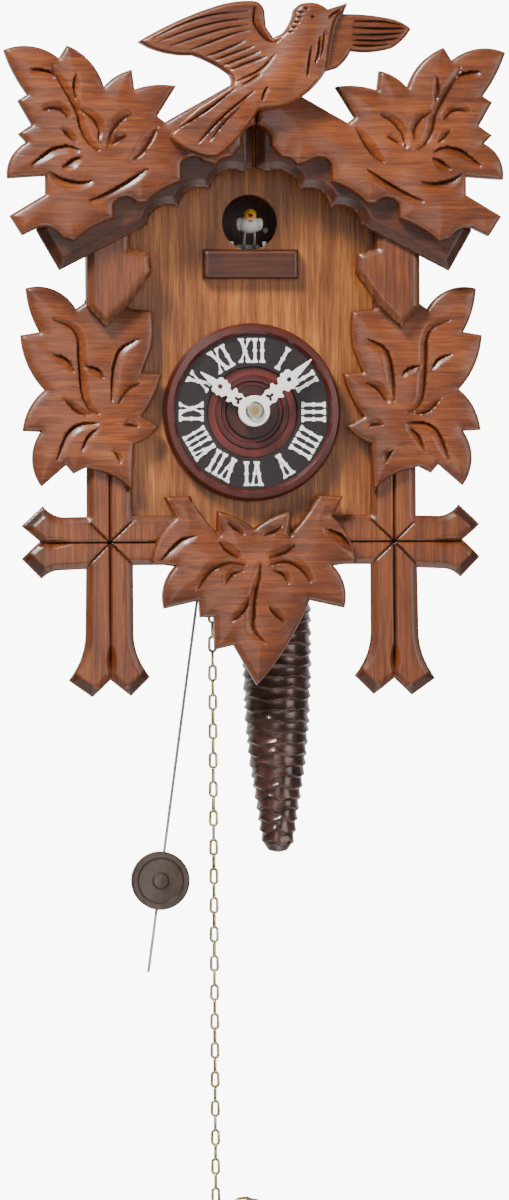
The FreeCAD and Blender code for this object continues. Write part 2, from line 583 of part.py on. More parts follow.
def pendulum():
    great, centre, third, escape, pivot, minute, idler = centres()
    swing = size("swing_at_rest")
    turn = FreeCAD.Placement(Vector(pivot[0], 0, pivot[1]), FreeCAD.Rotation(Y_AXIS, swing))

    def swung(obj):
        obj.Placement = turn.multiply(obj.Placement)
        return obj

    arms = [(2.2, 1.6), (8.2, -1.4), (7.6, -4.6), (6.6, -3.9), (6.4, -2.0), (1.8, -1.2)]
    outline = [(-x, z) for x, z in reversed(arms)] + arms
    lever = flat_piece("anchor_lever", outline, "34", "1.5", kept=False)
    lever.Placement = turn.multiply(FreeCAD.Placement(Vector(0, -34, 0), FreeCAD.Rotation()))
    shaft = [rod_y("anchor_body", ARBOR, PLATE_GAP_FRONT, PLATE_GAP_BACK, *pivot),
             rod_y("anchor_front", PIVOT, 40.8, PLATE_GAP_FRONT, *pivot),
             rod_y("anchor_back", 0.8, PLATE_GAP_BACK, 14.9, *pivot)]
    fused("anchor", [lever] + shaft)
    collar = swung(rod_y("crutch_collar", 2.2, 16.4, 15.4))
    wire = doc.addObject("Part::Cylinder", "crutch_wire")
    wire.Radius, wire.Height = 0.4, 18.5
    wire.Placement.Base = Vector(0, -15.9, -20)
    prongs = [swung(rod_y("crutch_prong", 0.4, 15.8, 10.5, x, -20)) for x in (-1.3, 1.3)]
    bar = block("crutch_bar", (-1.9, -16.3, -20.6), (1.9, -15.3, -19.4))
    crutch_blank = doc.addObject("Part::MultiFuse", "crutch_blank")
    crutch_blank.Shapes = [collar, swung(wire), swung(bar)] + prongs
    cut("crutch", crutch_blank, [rod_y("crutch_bore", 0.8, 17.0, 14.0, *pivot)])
    arm = block("bracket_arm", (-3, -17, pivot[1] + 6), (3, -7, pivot[1] + 8))
    drop = block("bracket_drop", (-3, -8.5, pivot[1] - 3), (3, -7, pivot[1] + 8))
    fused("suspension_bracket", [arm, drop, rod_y("bracket_pin", 1.2, 13.9, 8.0, *pivot)])
    eye = swung(turned_piece("rod_eye", [(1.25, 0), (2.6, 0), (2.6, 2.0), (1.25, 2.0)], 0, 0, 11.0, kept=False))
    length, front = size("rod_length"), size("pendulum_front")
    rod = doc.addObject("Part::Cylinder", "rod_wire")
    bind(rod, Radius="Sizes.rod_radius")
    rod.Height = length - 1.9
    rod.Placement.Base = Vector(0, -front, -length)
    fused("pendulum_rod", [eye, swung(rod)])
    radius, away = size("bob_radius"), size("bob_distance")
    bob = turned_piece("bob_blank", [(0, -2.2), (radius - 1.0, -2.2), (radius, -1.2), (radius, 1.6), (radius - 0.6, 2.4),
                                     (8.2, 2.4), (7.6, 1.7), (3.0, 1.9), (2.4, 2.7), (0, 2.9)],
                       0, -away, front, kept=False)
    bore = doc.addObject("Part::Cylinder", "bob_bore")
    bore.Radius, bore.Height = size("rod_radius"), 30
    bore.Placement.Base = Vector(0, -front, -away - 15)
    cut("pendulum_bob", swung(bob), [swung(bore)])


# ---------------------------------------------------------------- weight and chain
STRAND_TOP_WEIGHT = -40.0
STRAND_END_WEIGHT = -126.4
STRAND_TOP_FREE = -100.0
HANK_TOP = -352.0
HANK_RUN = 60.0
HANK_RADIUS = 10.0
HANK_TURNS = 6
HANK_PITCH = 3.4
TAIL = 12.0


def strand(label, x, top, bottom):
    tube = doc.addObject("Part::Cylinder", label)
    bind(tube, Radius="Sizes.chain_radius")
    tube.Height = top - bottom
    tube.Placement.Base = Vector(x, -size("chain_front"), bottom)
    return tube


def weight():
    x, front = size("strand_offset"), size("chain_front")
    profile = [(1.2, -131.0), (6.0, -131.0), (10.6, -132.6), (12.1, -136.0), (12.2, -150.0), (12.1, -162.0),
               (11.4, -177.0), (10.2, -190.5), (8.6, -200.5), (7.3, -208.5), (6.6, -214.5), (5.6, -219.0),
               (3.4, -221.5), (1.2, -222.0)]
    body = doc.addObject("PartDesign::Body", "pine_cone_weight")
    sketch = sketch_on(body, "XZ_Plane", [(0, -131.0)] + profile + [(0, -222.0)])
    spin = body.newObject("PartDesign::Revolution", "cone_turn")
    spin.Profile = sketch
    spin.ReferenceAxis = (sketch, ["V_Axis"])
    spin.Angle = 360.0
    body.Placement.Base = Vector(x, -front, 0)
    keep(body, "pine_cone_weight")
    ring = doc.addObject("Part::Torus", "hook_ring")
    ring.Radius1, ring.Radius2 = 1.5, 0.5
    ring.Placement = FreeCAD.Placement(Vector(x, -front, -128.4), FreeCAD.Rotation(X_AXIS, 90))
    stem = doc.addObject("Part::Cylinder", "hook_stem")
    stem.Radius, stem.Height = 0.75, 1.2
    stem.Placement.Base = Vector(x, -front, -131.0)
    fused("weight_hook", [ring, stem])
    keep(strand("chain_weight_side", x, STRAND_TOP_WEIGHT, STRAND_END_WEIGHT), "chain_weight_side")


def free_chain():
    x, front, radius = -size("strand_offset"), size("chain_front"), size("chain_radius")
    wrap = doc.addObject("Part::Torus", "chain_over_wheel")
    wrap.Radius1, wrap.Radius2, wrap.Angle3 = size("strand_offset"), radius, 80.0
    turn = FreeCAD.Rotation(Y_AXIS, -50).multiply(FreeCAD.Rotation(X_AXIS, 90))
    wrap.Placement = FreeCAD.Placement(Vector(0, -front, -size("great_drop")), turn)
    keep(wrap, "chain_over_wheel")
    bottom = HANK_TOP - HANK_RUN
    keep(strand("chain_free", x, STRAND_TOP_FREE, bottom), "chain_free")
    blanks = []
    for name, edge in (("hank_outside", HANK_RADIUS + radius), ("hank_inside", HANK_RADIUS - radius)):
        middle = x + HANK_RADIUS
        blanks.append(flat_piece(name, hank_loop(middle, edge, bottom), str(front + radius),
                                 str(HANK_TURNS * HANK_PITCH), kept=False))
    cut("chain_hank", blanks[0], [blanks[1]])


def hank_loop(middle, edge, bottom):
    """A closed loop with straight sides and half-round ends."""
    return [(middle - edge, bottom, edge), (middle - edge, HANK_TOP), (middle + edge, HANK_TOP, edge),
            (middle + edge, bottom)]


def hank_fittings():
    x, front, radius = -size("strand_offset"), size("chain_front"), size("chain_radius")
    middle, bottom = x + HANK_RADIUS, HANK_TOP - HANK_RUN
    out = HANK_RADIUS + radius + 0.4
    back, face = front - radius - 0.4, front + radius + HANK_TURNS * HANK_PITCH + 0.4
    height = (HANK_TOP + bottom) / 2
    wall = 0.6
    outside = block("tie_outside", (middle - out - wall, -face - wall, height - 2),
                    (middle + out + wall, -back + wall, height + 2))
    inside = block("tie_inside", (middle - out, -face, height - 3), (middle + out, -back, height + 3))
    cut("hank_tie", outside, [inside])
    tail_front = front + HANK_TURNS * HANK_PITCH - 0.1
    tail = doc.addObject("Part::Cylinder", "chain_tail")
    bind(tail, Radius="Sizes.chain_radius")
    tail.Height = TAIL
    end = bottom - HANK_RADIUS - radius - TAIL
    tail.Placement.Base = Vector(middle, -tail_front, end)
    keep(tail, "chain_tail")
    ring = doc.addObject("Part::Torus", "chain_ring")
    ring.Radius1, ring.Radius2 = 5.0, 0.8
    ring.Placement = FreeCAD.Placement(Vector(middle, -tail_front, end - 5.8), FreeCAD.Rotation(X_AXIS, 90))
    keep(ring, "chain_ring")


# ---------------------------------------------------------------- little bird
BIRD_PIVOT = (44.5, -14.6)   # distance from the wall, height


def little_bird():
    """A painted bird that rocks in the opening on a cross pin behind the board."""
    back, height = BIRD_PIVOT

    def ball(name, centre, radii):
        egg = doc.addObject("Part::Ellipsoid", name)
        egg.Radius1, egg.Radius2, egg.Radius3 = radii[2], radii[0], radii[1]
        egg.Placement.Base = Vector(*centre)
        return egg

    body = ball("bird_body", (0.3, -49.5, -6.8), (4.6, 3.6, 3.4))
    head = ball("bird_head", (0.3, -51.3, -3.7), (2.2, 2.2, 2.2))
    beak = doc.addObject("Part::Cone", "bird_beak")
    beak.Radius1, beak.Radius2, beak.Height = 1.1, 0.2, 3.2
    beak.Placement = FreeCAD.Placement(Vector(0.3, -52.8, -4.2), FreeCAD.Rotation(X_AXIS, 100))
    legs = []
    for side in (-1, 1):
        leg = doc.addObject("Part::Cylinder", "bird_leg")
        leg.Radius, leg.Height = 0.9, 8.5
        leg.Placement = FreeCAD.Placement(Vector(side * 2.2, -back - 0.4, height + 0.6), FreeCAD.Rotation(X_AXIS, 38))
        legs.append(leg)
    foot = block("bird_foot", (-4, -back - 1.4, height - 1.6), (4, -back + 1.4, height + 1.4))
    blank = doc.addObject("Part::MultiFuse", "bird_blank")
    blank.Shapes = [body, head, beak, foot] + legs
    bore = doc.addObject("Part::Cylinder", "bird_bore")
    bore.Radius, bore.Height = 0.65, 20
    bore.Placement = FreeCAD.Placement(Vector(-10, -back, height), FreeCAD.Rotation(Y_AXIS, 90))
    cut("little_bird", blank, [bore])
    pin = doc.addObject("Part::Cylinder", "bird_pin")
    pin.Radius, pin.Height = 0.6, 14
    pin.Placement = FreeCAD.Placement(Vector(-7, -back, height), FreeCAD.Rotation(Y_AXIS, 90))
    ears = [block("bird_ear", (x, -47, height - 2), (x + 1.2, -back + 2, height + 2)) for x in (-6.2, 5.0)]
    fused("bird_bracket", [pin] + ears)


case_boards()
bottom_board()
front_board()
carved_work()
dial()
dial_numerals()
hands()
movement_frame()
going_train()
motion_work()
pendulum()
weight()
free_chain()
hank_fittings()
little_bird()
doc.recompute()

for obj in doc.Objects:
    if "Invalid" in obj.State or "Error" in obj.State:
        raise RuntimeError("%s is %s" % (obj.Label, obj.State))
os.makedirs("parts", exist_ok=True)
for part in parts:
    shape = part.Shape
    if shape.isNull() or not shape.isValid() or not shape.Solids:
        raise RuntimeError("%s has no valid shape" % part.Label)
    shape.exportStep("parts/%s.step" % part.Label)
    print("%-22s %2d solid(s) %10.1f mm3" % (part.Label, len(shape.Solids), shape.Volume))
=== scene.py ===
"""Looks of the small cuckoo clock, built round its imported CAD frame. Metres, +Z up, front faces -Y."""
import math
import random

import bpy
import numpy as np
from mathutils import Matrix, Quaternion, Vector
from mathutils.geometry import delaunay_2d_cdt


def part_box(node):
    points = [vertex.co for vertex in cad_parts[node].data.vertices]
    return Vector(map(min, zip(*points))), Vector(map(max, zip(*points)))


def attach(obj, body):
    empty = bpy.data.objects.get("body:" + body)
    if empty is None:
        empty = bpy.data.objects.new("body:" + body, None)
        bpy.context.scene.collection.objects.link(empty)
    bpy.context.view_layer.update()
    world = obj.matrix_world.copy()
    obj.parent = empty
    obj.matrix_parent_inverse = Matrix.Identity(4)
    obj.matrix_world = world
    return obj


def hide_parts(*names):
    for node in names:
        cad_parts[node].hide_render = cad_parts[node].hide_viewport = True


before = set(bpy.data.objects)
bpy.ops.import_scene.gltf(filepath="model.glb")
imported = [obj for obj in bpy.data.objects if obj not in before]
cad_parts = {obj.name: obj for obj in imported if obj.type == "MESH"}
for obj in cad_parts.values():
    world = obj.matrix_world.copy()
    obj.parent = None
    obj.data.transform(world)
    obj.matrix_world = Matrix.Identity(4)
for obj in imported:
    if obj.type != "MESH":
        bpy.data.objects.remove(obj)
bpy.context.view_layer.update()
random.seed(7)
MM = 0.001
scene = bpy.context.scene


# ------------------------ helpers
def new_object(name, mesh, material=None, body="root", smooth=True):
    """Link a mesh or curve as a piece, with its material and body."""
    piece = bpy.data.objects.new(name, mesh)
    scene.collection.objects.link(piece)
    if material:
        mesh.materials.append(material)
    if smooth and hasattr(mesh, "polygons"):
        mesh.polygons.foreach_set("use_smooth", [True] * len(mesh.polygons))
    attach(piece, body)
    return piece


def mesh_of(name, points, faces):
    mesh = bpy.data.meshes.new(name)
    mesh.from_pydata([tuple(p) for p in points], [], [tuple(f) for f in faces])
    mesh.validate()
    mesh.update()
    return mesh


def swept_faces(rings, sides):
    """Side faces between rings of points, one ring after another, and the two end caps."""
    faces = []
    for ring in range(rings - 1):
        for step in range(sides):
            beside = (step + 1) % sides
            faces.append((ring * sides + step, ring * sides + beside,
                          (ring + 1) * sides + beside, (ring + 1) * sides + step))
    faces.append(tuple(reversed(range(sides))))
    faces.append(tuple((rings - 1) * sides + i for i in range(sides)))
    return faces


def sharp_by_angle(piece, degrees):
    """Smooth shading that keeps edges steeper than an angle crisp."""
    piece.data.set_sharp_from_angle(angle=math.radians(degrees))


def finish_node(name, material):
    """Give a CAD node its material."""
    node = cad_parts[name]
    node.data.materials.clear()
    node.data.materials.append(material)


# ------------------------ materials
class Nodes:
    """A short hand for building a node tree."""

    def __init__(self, name):
        self.material = bpy.data.materials.new(name)
        self.material.use_nodes = True
        self.tree = self.material.node_tree
        self.shader = self.tree.nodes["Principled BSDF"]
        self.place = self.add("ShaderNodeTexCoord").outputs["Object"]

    def add(self, kind, **values):
        node = self.tree.nodes.new(kind)
        for key, value in values.items():
            setattr(node, key, value)
        return node

    def link(self, start, end):
        self.tree.links.new(start, end)

    def scaled(self, factors, source=None, turn=(0, 0, 0)):
        mapping = self.add("ShaderNodeMapping")
        mapping.inputs["Scale"].default_value = factors
        mapping.inputs["Rotation"].default_value = turn
        self.link(source or self.place, mapping.inputs["Vector"])
        return mapping.outputs["Vector"]

    def noise(self, vector, scale, detail=4.0, rough=0.55, warp=0.0):
        node = self.add("ShaderNodeTexNoise")
        node.inputs["Scale"].default_value = scale
        node.inputs["Detail"].default_value = detail
        node.inputs["Roughness"].default_value = rough
        node.inputs["Distortion"].default_value = warp
        self.link(vector, node.inputs["Vector"])
        return node.outputs["Fac"]

    def ramp(self, value, stops):
        node = self.add("ShaderNodeValToRGB")
        ramp = node.color_ramp
        while len(ramp.elements) < len(stops):
            ramp.elements.new(0.5)
        for element, (position, colour) in zip(ramp.elements, stops):
            element.position = position
            element.color = tuple(colour) + (1.0,)
        self.link(value, node.inputs["Fac"])
        return node.outputs["Color"]

    def mix(self, factor, first, second, mode="MIX"):
        node = self.add("ShaderNodeMix", data_type="RGBA", blend_type=mode)
        for socket, value in ((node.inputs[0], factor), (node.inputs[6], first), (node.inputs[7], second)):
            if isinstance(value, (int, float)):
                socket.default_value = value
            elif isinstance(value, tuple):
                socket.default_value = value + (1.0,)
            else:
                self.link(value, socket)
        return node.outputs[2]

    def math(self, operation, first, second=0.0, third=None):
        node = self.add("ShaderNodeMath", operation=operation)
        for index, value in enumerate((first, second, third)):
            if value is None:
                continue
            if isinstance(value, (int, float)):
                node.inputs[index].default_value = value
            else:
                self.link(value, node.inputs[index])
        return node.outputs[0]

    def radius(self, height):
        """Distance from a line along Y at a height, in metres."""
        split = self.add("ShaderNodeSeparateXYZ")
        self.link(self.place, split.inputs[0])
        up = self.math("ADD", split.outputs["Z"], -height)
        across = self.math("MULTIPLY", split.outputs["X"], split.outputs["X"])
        return self.math("SQRT", self.math("ADD", across, self.math("MULTIPLY", up, up)))

    def attribute(self, name):
        return self.add("ShaderNodeAttribute", attribute_name=name).outputs["Fac"]

    def bump(self, height, strength, distance):
        node = self.add("ShaderNodeBump")
        node.inputs["Strength"].default_value = strength
        node.inputs["Distance"].default_value = distance
        self.link(height, node.inputs["Height"])
        self.link(node.outputs["Normal"], self.shader.inputs["Normal"])

    def finish(self, colour, rough, coat=0.0, metallic=0.0, coat_rough=0.2):
        if isinstance(colour, tuple):
            self.shader.inputs["Base Color"].default_value = colour + (1.0,)
        else:
            self.link(colour, self.shader.inputs["Base Color"])
        if isinstance(rough, float):
            self.shader.inputs["Roughness"].default_value = rough
        else:
            self.link(rough, self.shader.inputs["Roughness"])
        self.shader.inputs["Coat Weight"].default_value = coat
        self.shader.inputs["Coat Roughness"].default_value = coat_rough
        self.shader.inputs["Metallic"].default_value = metallic
        return self.material


def linear(red, green, blue):
    """A colour given as 0-255 display values, in the linear values that shaders use."""
    made = []
    for value in (red, green, blue):
        share = value / 255
        made.append(share / 12.92 if share <= 0.04045 else ((share + 0.055) / 1.055) ** 2.4)
    return tuple(made)


def wood(name, dark, middle, light, grain, coat=0.25, stain=None):
    """Stained wood: long fibres along the small factor of grain, broad cloudy stain and fine pores."""
    nodes = Nodes(name)
    fibre = nodes.noise(nodes.scaled(grain), 1.0, 6.0, 0.62, 0.6)
    streak = nodes.noise(nodes.scaled(tuple(g * 3.4 for g in grain)), 1.0, 3.0, 0.7)
    cloud = nodes.noise(nodes.scaled((28, 28, 28)), 1.0, 3.0, 0.5, 0.4)
    value = nodes.math("MULTIPLY_ADD", streak, 0.45, nodes.math("MULTIPLY", fibre, 0.62))
    colour = nodes.ramp(value, [(0.34, dark), (0.53, middle), (0.72, light)])
    shade = nodes.ramp(cloud, [(0.3, (0.62, 0.58, 0.58)), (0.68, (1.12, 1.08, 1.02))])
    colour = nodes.mix(1.0, colour, shade, "MULTIPLY")
    if stain:
        # Mixes towards the dark stain colour: the real stain at rims and on end grain, painted shade on the
        # chamfers of the cross frames, and a darker top on the crest bird.
        colour = nodes.mix(nodes.math("MULTIPLY", nodes.attribute("stain_and_shade"), 0.8), colour, stain)
        # Painted shade: the carved grooves are darkened to near black along their lines.
        colour = nodes.mix(nodes.attribute("cut"), colour, linear(26, 10, 6))
        # Painted highlight: a pale line along the eased rim of each carved plate, where its rounded edge
        # would catch the light.
        rim_highlight = nodes.math("MULTIPLY", nodes.attribute("rim_highlight"), 0.4)
        colour = nodes.mix(rim_highlight, colour, linear(190, 120, 84))
    nodes.bump(nodes.math("ADD", value, nodes.math("MULTIPLY", streak, 0.35)), 0.22, 0.0004)
    roughness = nodes.math("MULTIPLY_ADD", cloud, 0.16, 0.34)
    return nodes.finish(colour, roughness, coat)


def simple(name, colour, shade, rough, scale=300.0, metallic=0.0, coat=0.0, bump=0.0):
    """A surface with a fine mottling between two colours and a slight unevenness."""
    nodes = Nodes(name)
    mottle = nodes.noise(nodes.scaled((scale, scale, scale)), 1.0, 4.0)
    tint = nodes.ramp(mottle, [(0.3, shade), (0.7, colour)])
    if bump:
        nodes.bump(mottle, bump, 0.0003)
    roughness = nodes.math("MULTIPLY_ADD", mottle, 0.16, rough - 0.08)
    return nodes.finish(tint, roughness, coat, metallic)


BOARD = wood("board_stain", linear(84, 38, 9), linear(150, 84, 27), linear(204, 134, 62),
             grain=(520, 300, 22), coat=0.2)
SIDE = wood("side_stain", linear(66, 29, 9), linear(106, 52, 18), linear(136, 76, 32), grain=(300, 520, 22))
ROOF = wood("roof_stain", linear(34, 15, 7), linear(58, 26, 11), linear(84, 42, 18), grain=(300, 26, 300))
CARVED = wood("carved_stain", linear(66, 28, 6), linear(120, 57, 15), linear(160, 86, 30),
              grain=(26, 360, 520), coat=0.3, stain=linear(50, 22, 13))
POST = wood("post_stain", linear(64, 28, 7), linear(116, 57, 16), linear(156, 86, 32),
            grain=(520, 360, 24), coat=0.3, stain=linear(44, 20, 12))
RAIL = wood("rail_stain", linear(44, 18, 6), linear(80, 36, 12), linear(108, 54, 22), grain=(26, 400, 420),
            coat=0.12, stain=linear(34, 14, 7))
BRASS = simple("brass_plate", linear(214, 182, 110), linear(176, 140, 78), 0.32, 260, 1.0, bump=0.06)
STEEL = simple("steel_bright", linear(196, 196, 198), linear(150, 150, 152), 0.34, 320, 1.0, bump=0.05)
WIRE = simple("rod_wire_dull", linear(178, 178, 174), linear(150, 149, 145), 0.5, 500, 0.2)
CHAIN = simple("chain_pale_brass", linear(222, 206, 156), linear(150, 130, 84), 0.28, 420, 1.0)
WHITE = simple("ivory_white", (0.96, 0.96, 0.945), (0.92, 0.915, 0.9), 0.4, 500, coat=0.2, bump=0.05)
CONE = simple("cone_lacquer", linear(92, 58, 50), linear(44, 24, 20), 0.3, 260, 0.35, coat=0.5, bump=0.3)
BOB = wood("bob_stain", linear(44, 32, 27), linear(66, 50, 42), linear(84, 66, 56),
           grain=(180, 400, 90), coat=0.35)


# ------------------------ camera
FRONT_PLANE = -0.060         # the carved front, where the frame's height is measured
FRAME_HEIGHT = 0.4068
CAMERA_AWAY = 1.8
CAMERA_TURN = math.radians(-6.5)
CAMERA_ROLL = math.radians(-0.35)
CAMERA_AIM = Vector((0.0, FRONT_PLANE, -0.1350))


def make_camera():
    data = bpy.data.cameras.new("camera")
    data.sensor_fit = "VERTICAL"
    data.sensor_height = 36.0
    data.lens = 36.0 * CAMERA_AWAY / FRAME_HEIGHT
    camera = bpy.data.objects.new("camera", data)
    scene.collection.objects.link(camera)
    offset = Vector((math.sin(CAMERA_TURN), -math.cos(CAMERA_TURN), 0.0)) * CAMERA_AWAY
    camera.location = CAMERA_AIM + offset
    look = (-offset).to_track_quat("-Z", "Y")
    camera.rotation_euler = (look @ Quaternion((0, 0, 1), CAMERA_ROLL)).to_euler()
    scene.camera = camera


make_camera()


# ------------------------ chain
LINK_PITCH = 5.0 * MM
LINK_WIDTH = 3.3 * MM
LINK_WIRE = 1.05 * MM
CHAIN_X = -11.14 * MM
CHAIN_Y = -29.0 * MM
HANK_TOP_Z = -352.0 * MM
HANK_LOW_Z = -412.0 * MM
HANK_RADIUS = 10.0 * MM
HANK_TURNS = 6
HANK_STEP = 3.4 * MM
TAIL_END_Z = -436.0 * MM
WHEEL_AXLE_Z = -100.0 * MM


def link_mesh_points():
    """One oval link in the plane of its own length (local Z) and width (local X)."""
    rim, around = 18, 7
    straight = (LINK_PITCH + LINK_WIRE - LINK_WIDTH) / 2
    bend = (LINK_WIDTH - LINK_WIRE) / 2
    points, faces = [], []
    for step in range(rim):
        angle = 2 * math.pi * step / rim
        shift = straight if math.sin(angle) >= 0 else -straight
        centre = Vector((bend * math.cos(angle), 0, bend * math.sin(angle) + shift))
        outward = Vector((math.cos(angle), 0, math.sin(angle)))
        for side in range(around):
            turn = 2 * math.pi * side / around
            away = outward * math.cos(turn) + Vector((0, 1, 0)) * math.sin(turn)
            points.append(centre + away * LINK_WIRE / 2)
    for step in range(rim):
        for side in range(around):
            after, beside = (step + 1) % rim, (side + 1) % around
            faces.append((step * around + side, step * around + beside,
                          after * around + beside, after * around + side))
    return points, faces


def spaced(path, pitch):
    """Places every pitch along a path, with the direction there."""
    path = [Vector(p) for p in path]
    lengths = [(b - a).length for a, b in zip(path, path[1:])]
    total = sum(lengths)
    places, walked, index = [], 0.0, 0
    at = pitch / 2
    while at < total - pitch * 0.3:
        while walked + lengths[index] < at:
            walked += lengths[index]
            index += 1
        a, b = path[index], path[index + 1]
        places.append((a.lerp(b, (at - walked) / lengths[index]), (b - a).normalized()))
        at += pitch
    return places


def chain_piece(name, path, body):
    """Links threaded through each other along a path, each turned a quarter from the one before."""
    points, faces = link_mesh_points()
    all_points, all_faces = [], []
    for index, (place, along) in enumerate(spaced(path, LINK_PITCH)):
        side = along.cross(Vector((0, 1, 0)))
        if side.length < 0.2:
            side = along.cross(Vector((1, 0, 0)))
        side.normalize()
        other = along.cross(side).normalized()
        twist = math.radians(96 if index % 2 else 8) + random.uniform(-0.14, 0.14)
        across = side * math.cos(twist) + other * math.sin(twist)
        turn = Matrix((across, along.cross(across), along)).transposed()
        base = len(all_points)
        all_points += [place + turn @ p for p in points]
        all_faces += [tuple(base + i for i in face) for face in faces]
    return new_object(name, mesh_of(name, all_points, all_faces), CHAIN, body)


def route_points():
    """Control points of the free chain: straight down, six turns of the hank, then the tail."""
    left, right = CHAIN_X, CHAIN_X + 2 * HANK_RADIUS
    middle = CHAIN_X + HANK_RADIUS
    out = HANK_RADIUS / math.cos(math.pi / 8)
    points = [(left, CHAIN_Y, z * MM) for z in (-117.6, -150, -190, -230, -270, -310, -340)]
    runs = [HANK_TOP_Z - 0.006, HANK_TOP_Z - 0.022, HANK_TOP_Z - 0.038, HANK_TOP_Z - 0.054]

    def bend(start_angle, depth, height):
        made = []
        for step in range(4):
            angle = start_angle + math.pi / 8 + step * math.pi / 4
            made.append((middle - out * math.cos(angle), depth - HANK_STEP * step / 8,
                         height - out * math.sin(angle)))
        return made

    for turn in range(HANK_TURNS):
        depth = CHAIN_Y - HANK_STEP * turn
        points += [(left, depth, z) for z in runs]
        points += bend(0.0, depth, HANK_LOW_Z)
        points += [(right, depth - HANK_STEP * 0.5, z) for z in reversed(runs)]
        points += bend(math.pi, depth - HANK_STEP * 0.5, HANK_TOP_Z)
    depth = CHAIN_Y - HANK_STEP * HANK_TURNS
    points += [(left, depth, z) for z in runs]
    points += [(left + 0.8 * MM, depth, HANK_LOW_Z - 4 * MM),
               (middle - 2.6 * MM, depth, HANK_LOW_Z - 10 * MM),
               (middle, depth, HANK_LOW_Z - 16 * MM),
               (middle, depth, TAIL_END_Z)]
    return points


def spline_path(points):
    """The smooth line of a route, read from its NURBS spline."""
    curve = bpy.data.curves.new("route", "CURVE")
    curve.dimensions = "3D"
    curve.resolution_u = 8
    spline = curve.splines.new("NURBS")
    spline.points.add(len(points) - 1)
    for point, place in zip(spline.points, points):
        point.co = tuple(place) + (1.0,)
    spline.order_u = 3
    spline.use_endpoint_u = True
    holder = bpy.data.objects.new("route", curve)
    scene.collection.objects.link(holder)
    bpy.context.view_layer.update()
    mesh = bpy.data.meshes.new_from_object(holder)
    path = [v.co.copy() for v in mesh.vertices]
    bpy.data.objects.remove(holder)
    bpy.data.meshes.remove(mesh)
    return path


def make_chains():
    """The free chain with its hank, the strand that carries the weight, and the run over the wheel."""
    path = spline_path(route_points())
    cord = chain_piece("free_chain_links", path, "free_chain")
    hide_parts("chain_free", "chain_hank", "chain_tail")
    finish_node("chain_ring", BRASS)
    finish_node("hank_tie", BRASS)
    low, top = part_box("chain_weight_side")
    hanging = [(-CHAIN_X, CHAIN_Y, top.z), (-CHAIN_X, CHAIN_Y, low.z)]
    strand = chain_piece("weight_chain_links", hanging, "weight")
    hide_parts("chain_weight_side")
    arc = []
    for step in range(15):
        angle = math.radians(130 - 80 * step / 14)
        arc.append((-CHAIN_X * math.cos(angle), CHAIN_Y, WHEEL_AXLE_Z - CHAIN_X * math.sin(angle)))
    wrap = chain_piece("wheel_chain_links", arc, "root")
    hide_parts("chain_over_wheel")


make_chains()


# ------------------------ plain CAD nodes
NODE_FINISH = [
    (BOARD, ["front_board"]),
    (SIDE, ["side_board_left", "side_board_right", "back_panel", "bottom_board"]),
    (ROOF, ["roof_board_left", "roof_board_right"]),
    (BRASS, ["movement_front_plate", "movement_back_plate", "pillar_nuts", "great_wheel", "idler_wheel",
             "centre_wheel", "third_wheel", "escape_wheel", "cannon_pinion", "minute_wheel", "hour_wheel",
             "suspension_bracket"]),
    (STEEL, ["hanger_plate", "hanger_screws", "movement_pillars", "movement_screws", "movement_spacers",
             "idler_stud", "minute_stud", "anchor", "crutch", "bird_bracket"]),
    (WIRE, ["pendulum_rod"]),
    (CHAIN, ["weight_hook"]),
    (WHITE, ["hand_hub"]),
    (BOB, ["pendulum_bob"]),
]
for material, node_names in NODE_FINISH:
    for node_name in node_names:
        finish_node(node_name, material)


# ------------------------ carving
def front_outline(node):
    """Boundary loops of a flat node's front face, in millimetres of x and z, with its front and back y."""
    low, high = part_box(node)
    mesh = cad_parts[node].data
    places = [tuple(round(c / MM, 3) for c in v.co) for v in mesh.vertices]
    front = low.y / MM
    counts = {}
    for face in mesh.polygons:
        corners = [places[i] for i in face.vertices]
        if any(abs(c[1] - front) > 0.01 for c in corners):
            continue
        flat = [(c[0], c[2]) for c in corners]
        for a, b in zip(flat, flat[1:] + flat[:1]):
            counts[(a, b)] = counts.get((a, b), 0) + 1
    follow = {a: b for a, b in counts if (b, a) not in counts}
    loops = []
    while follow:
        start, after = follow.popitem()
        loop = [start]
        while after != start:
            loop.append(after)
            after = follow.pop(after)
        loops.append(np.array(loop))
    loops.sort(key=lambda loop: -np.ptp(loop[:, 0]) * np.ptp(loop[:, 1]))
    return loops, front, high.y / MM


def resampled(loop, spacing):
    """The loop with its long edges divided, corners kept."""
    points = []
    for a, b in zip(loop, np.roll(loop, -1, axis=0)):
        steps = max(1, int(math.ceil(np.linalg.norm(b - a) / spacing)))
        points += [a + (b - a) * s / steps for s in range(steps)]
    return np.array(points)


def curve_through(points, per_span=10):
    """A smooth line through given points."""
    ends = [2 * np.array(points[0]) - np.array(points[1])] + [np.array(p) for p in points]
    ends.append(2 * np.array(points[-1]) - np.array(points[-2]))
    line = []
    for i in range(1, len(ends) - 2):
        p0, p1, p2, p3 = ends[i - 1:i + 3]
        for step in range(per_span):
            t = step / per_span
            line.append(0.5 * (2 * p1 + (p2 - p0) * t + (2 * p0 - 5 * p1 + 4 * p2 - p3) * t * t
                               + (3 * p1 - 3 * p2 + p3 - p0) * t ** 3))
    line.append(np.array(points[-1], float))
    return np.array(line)


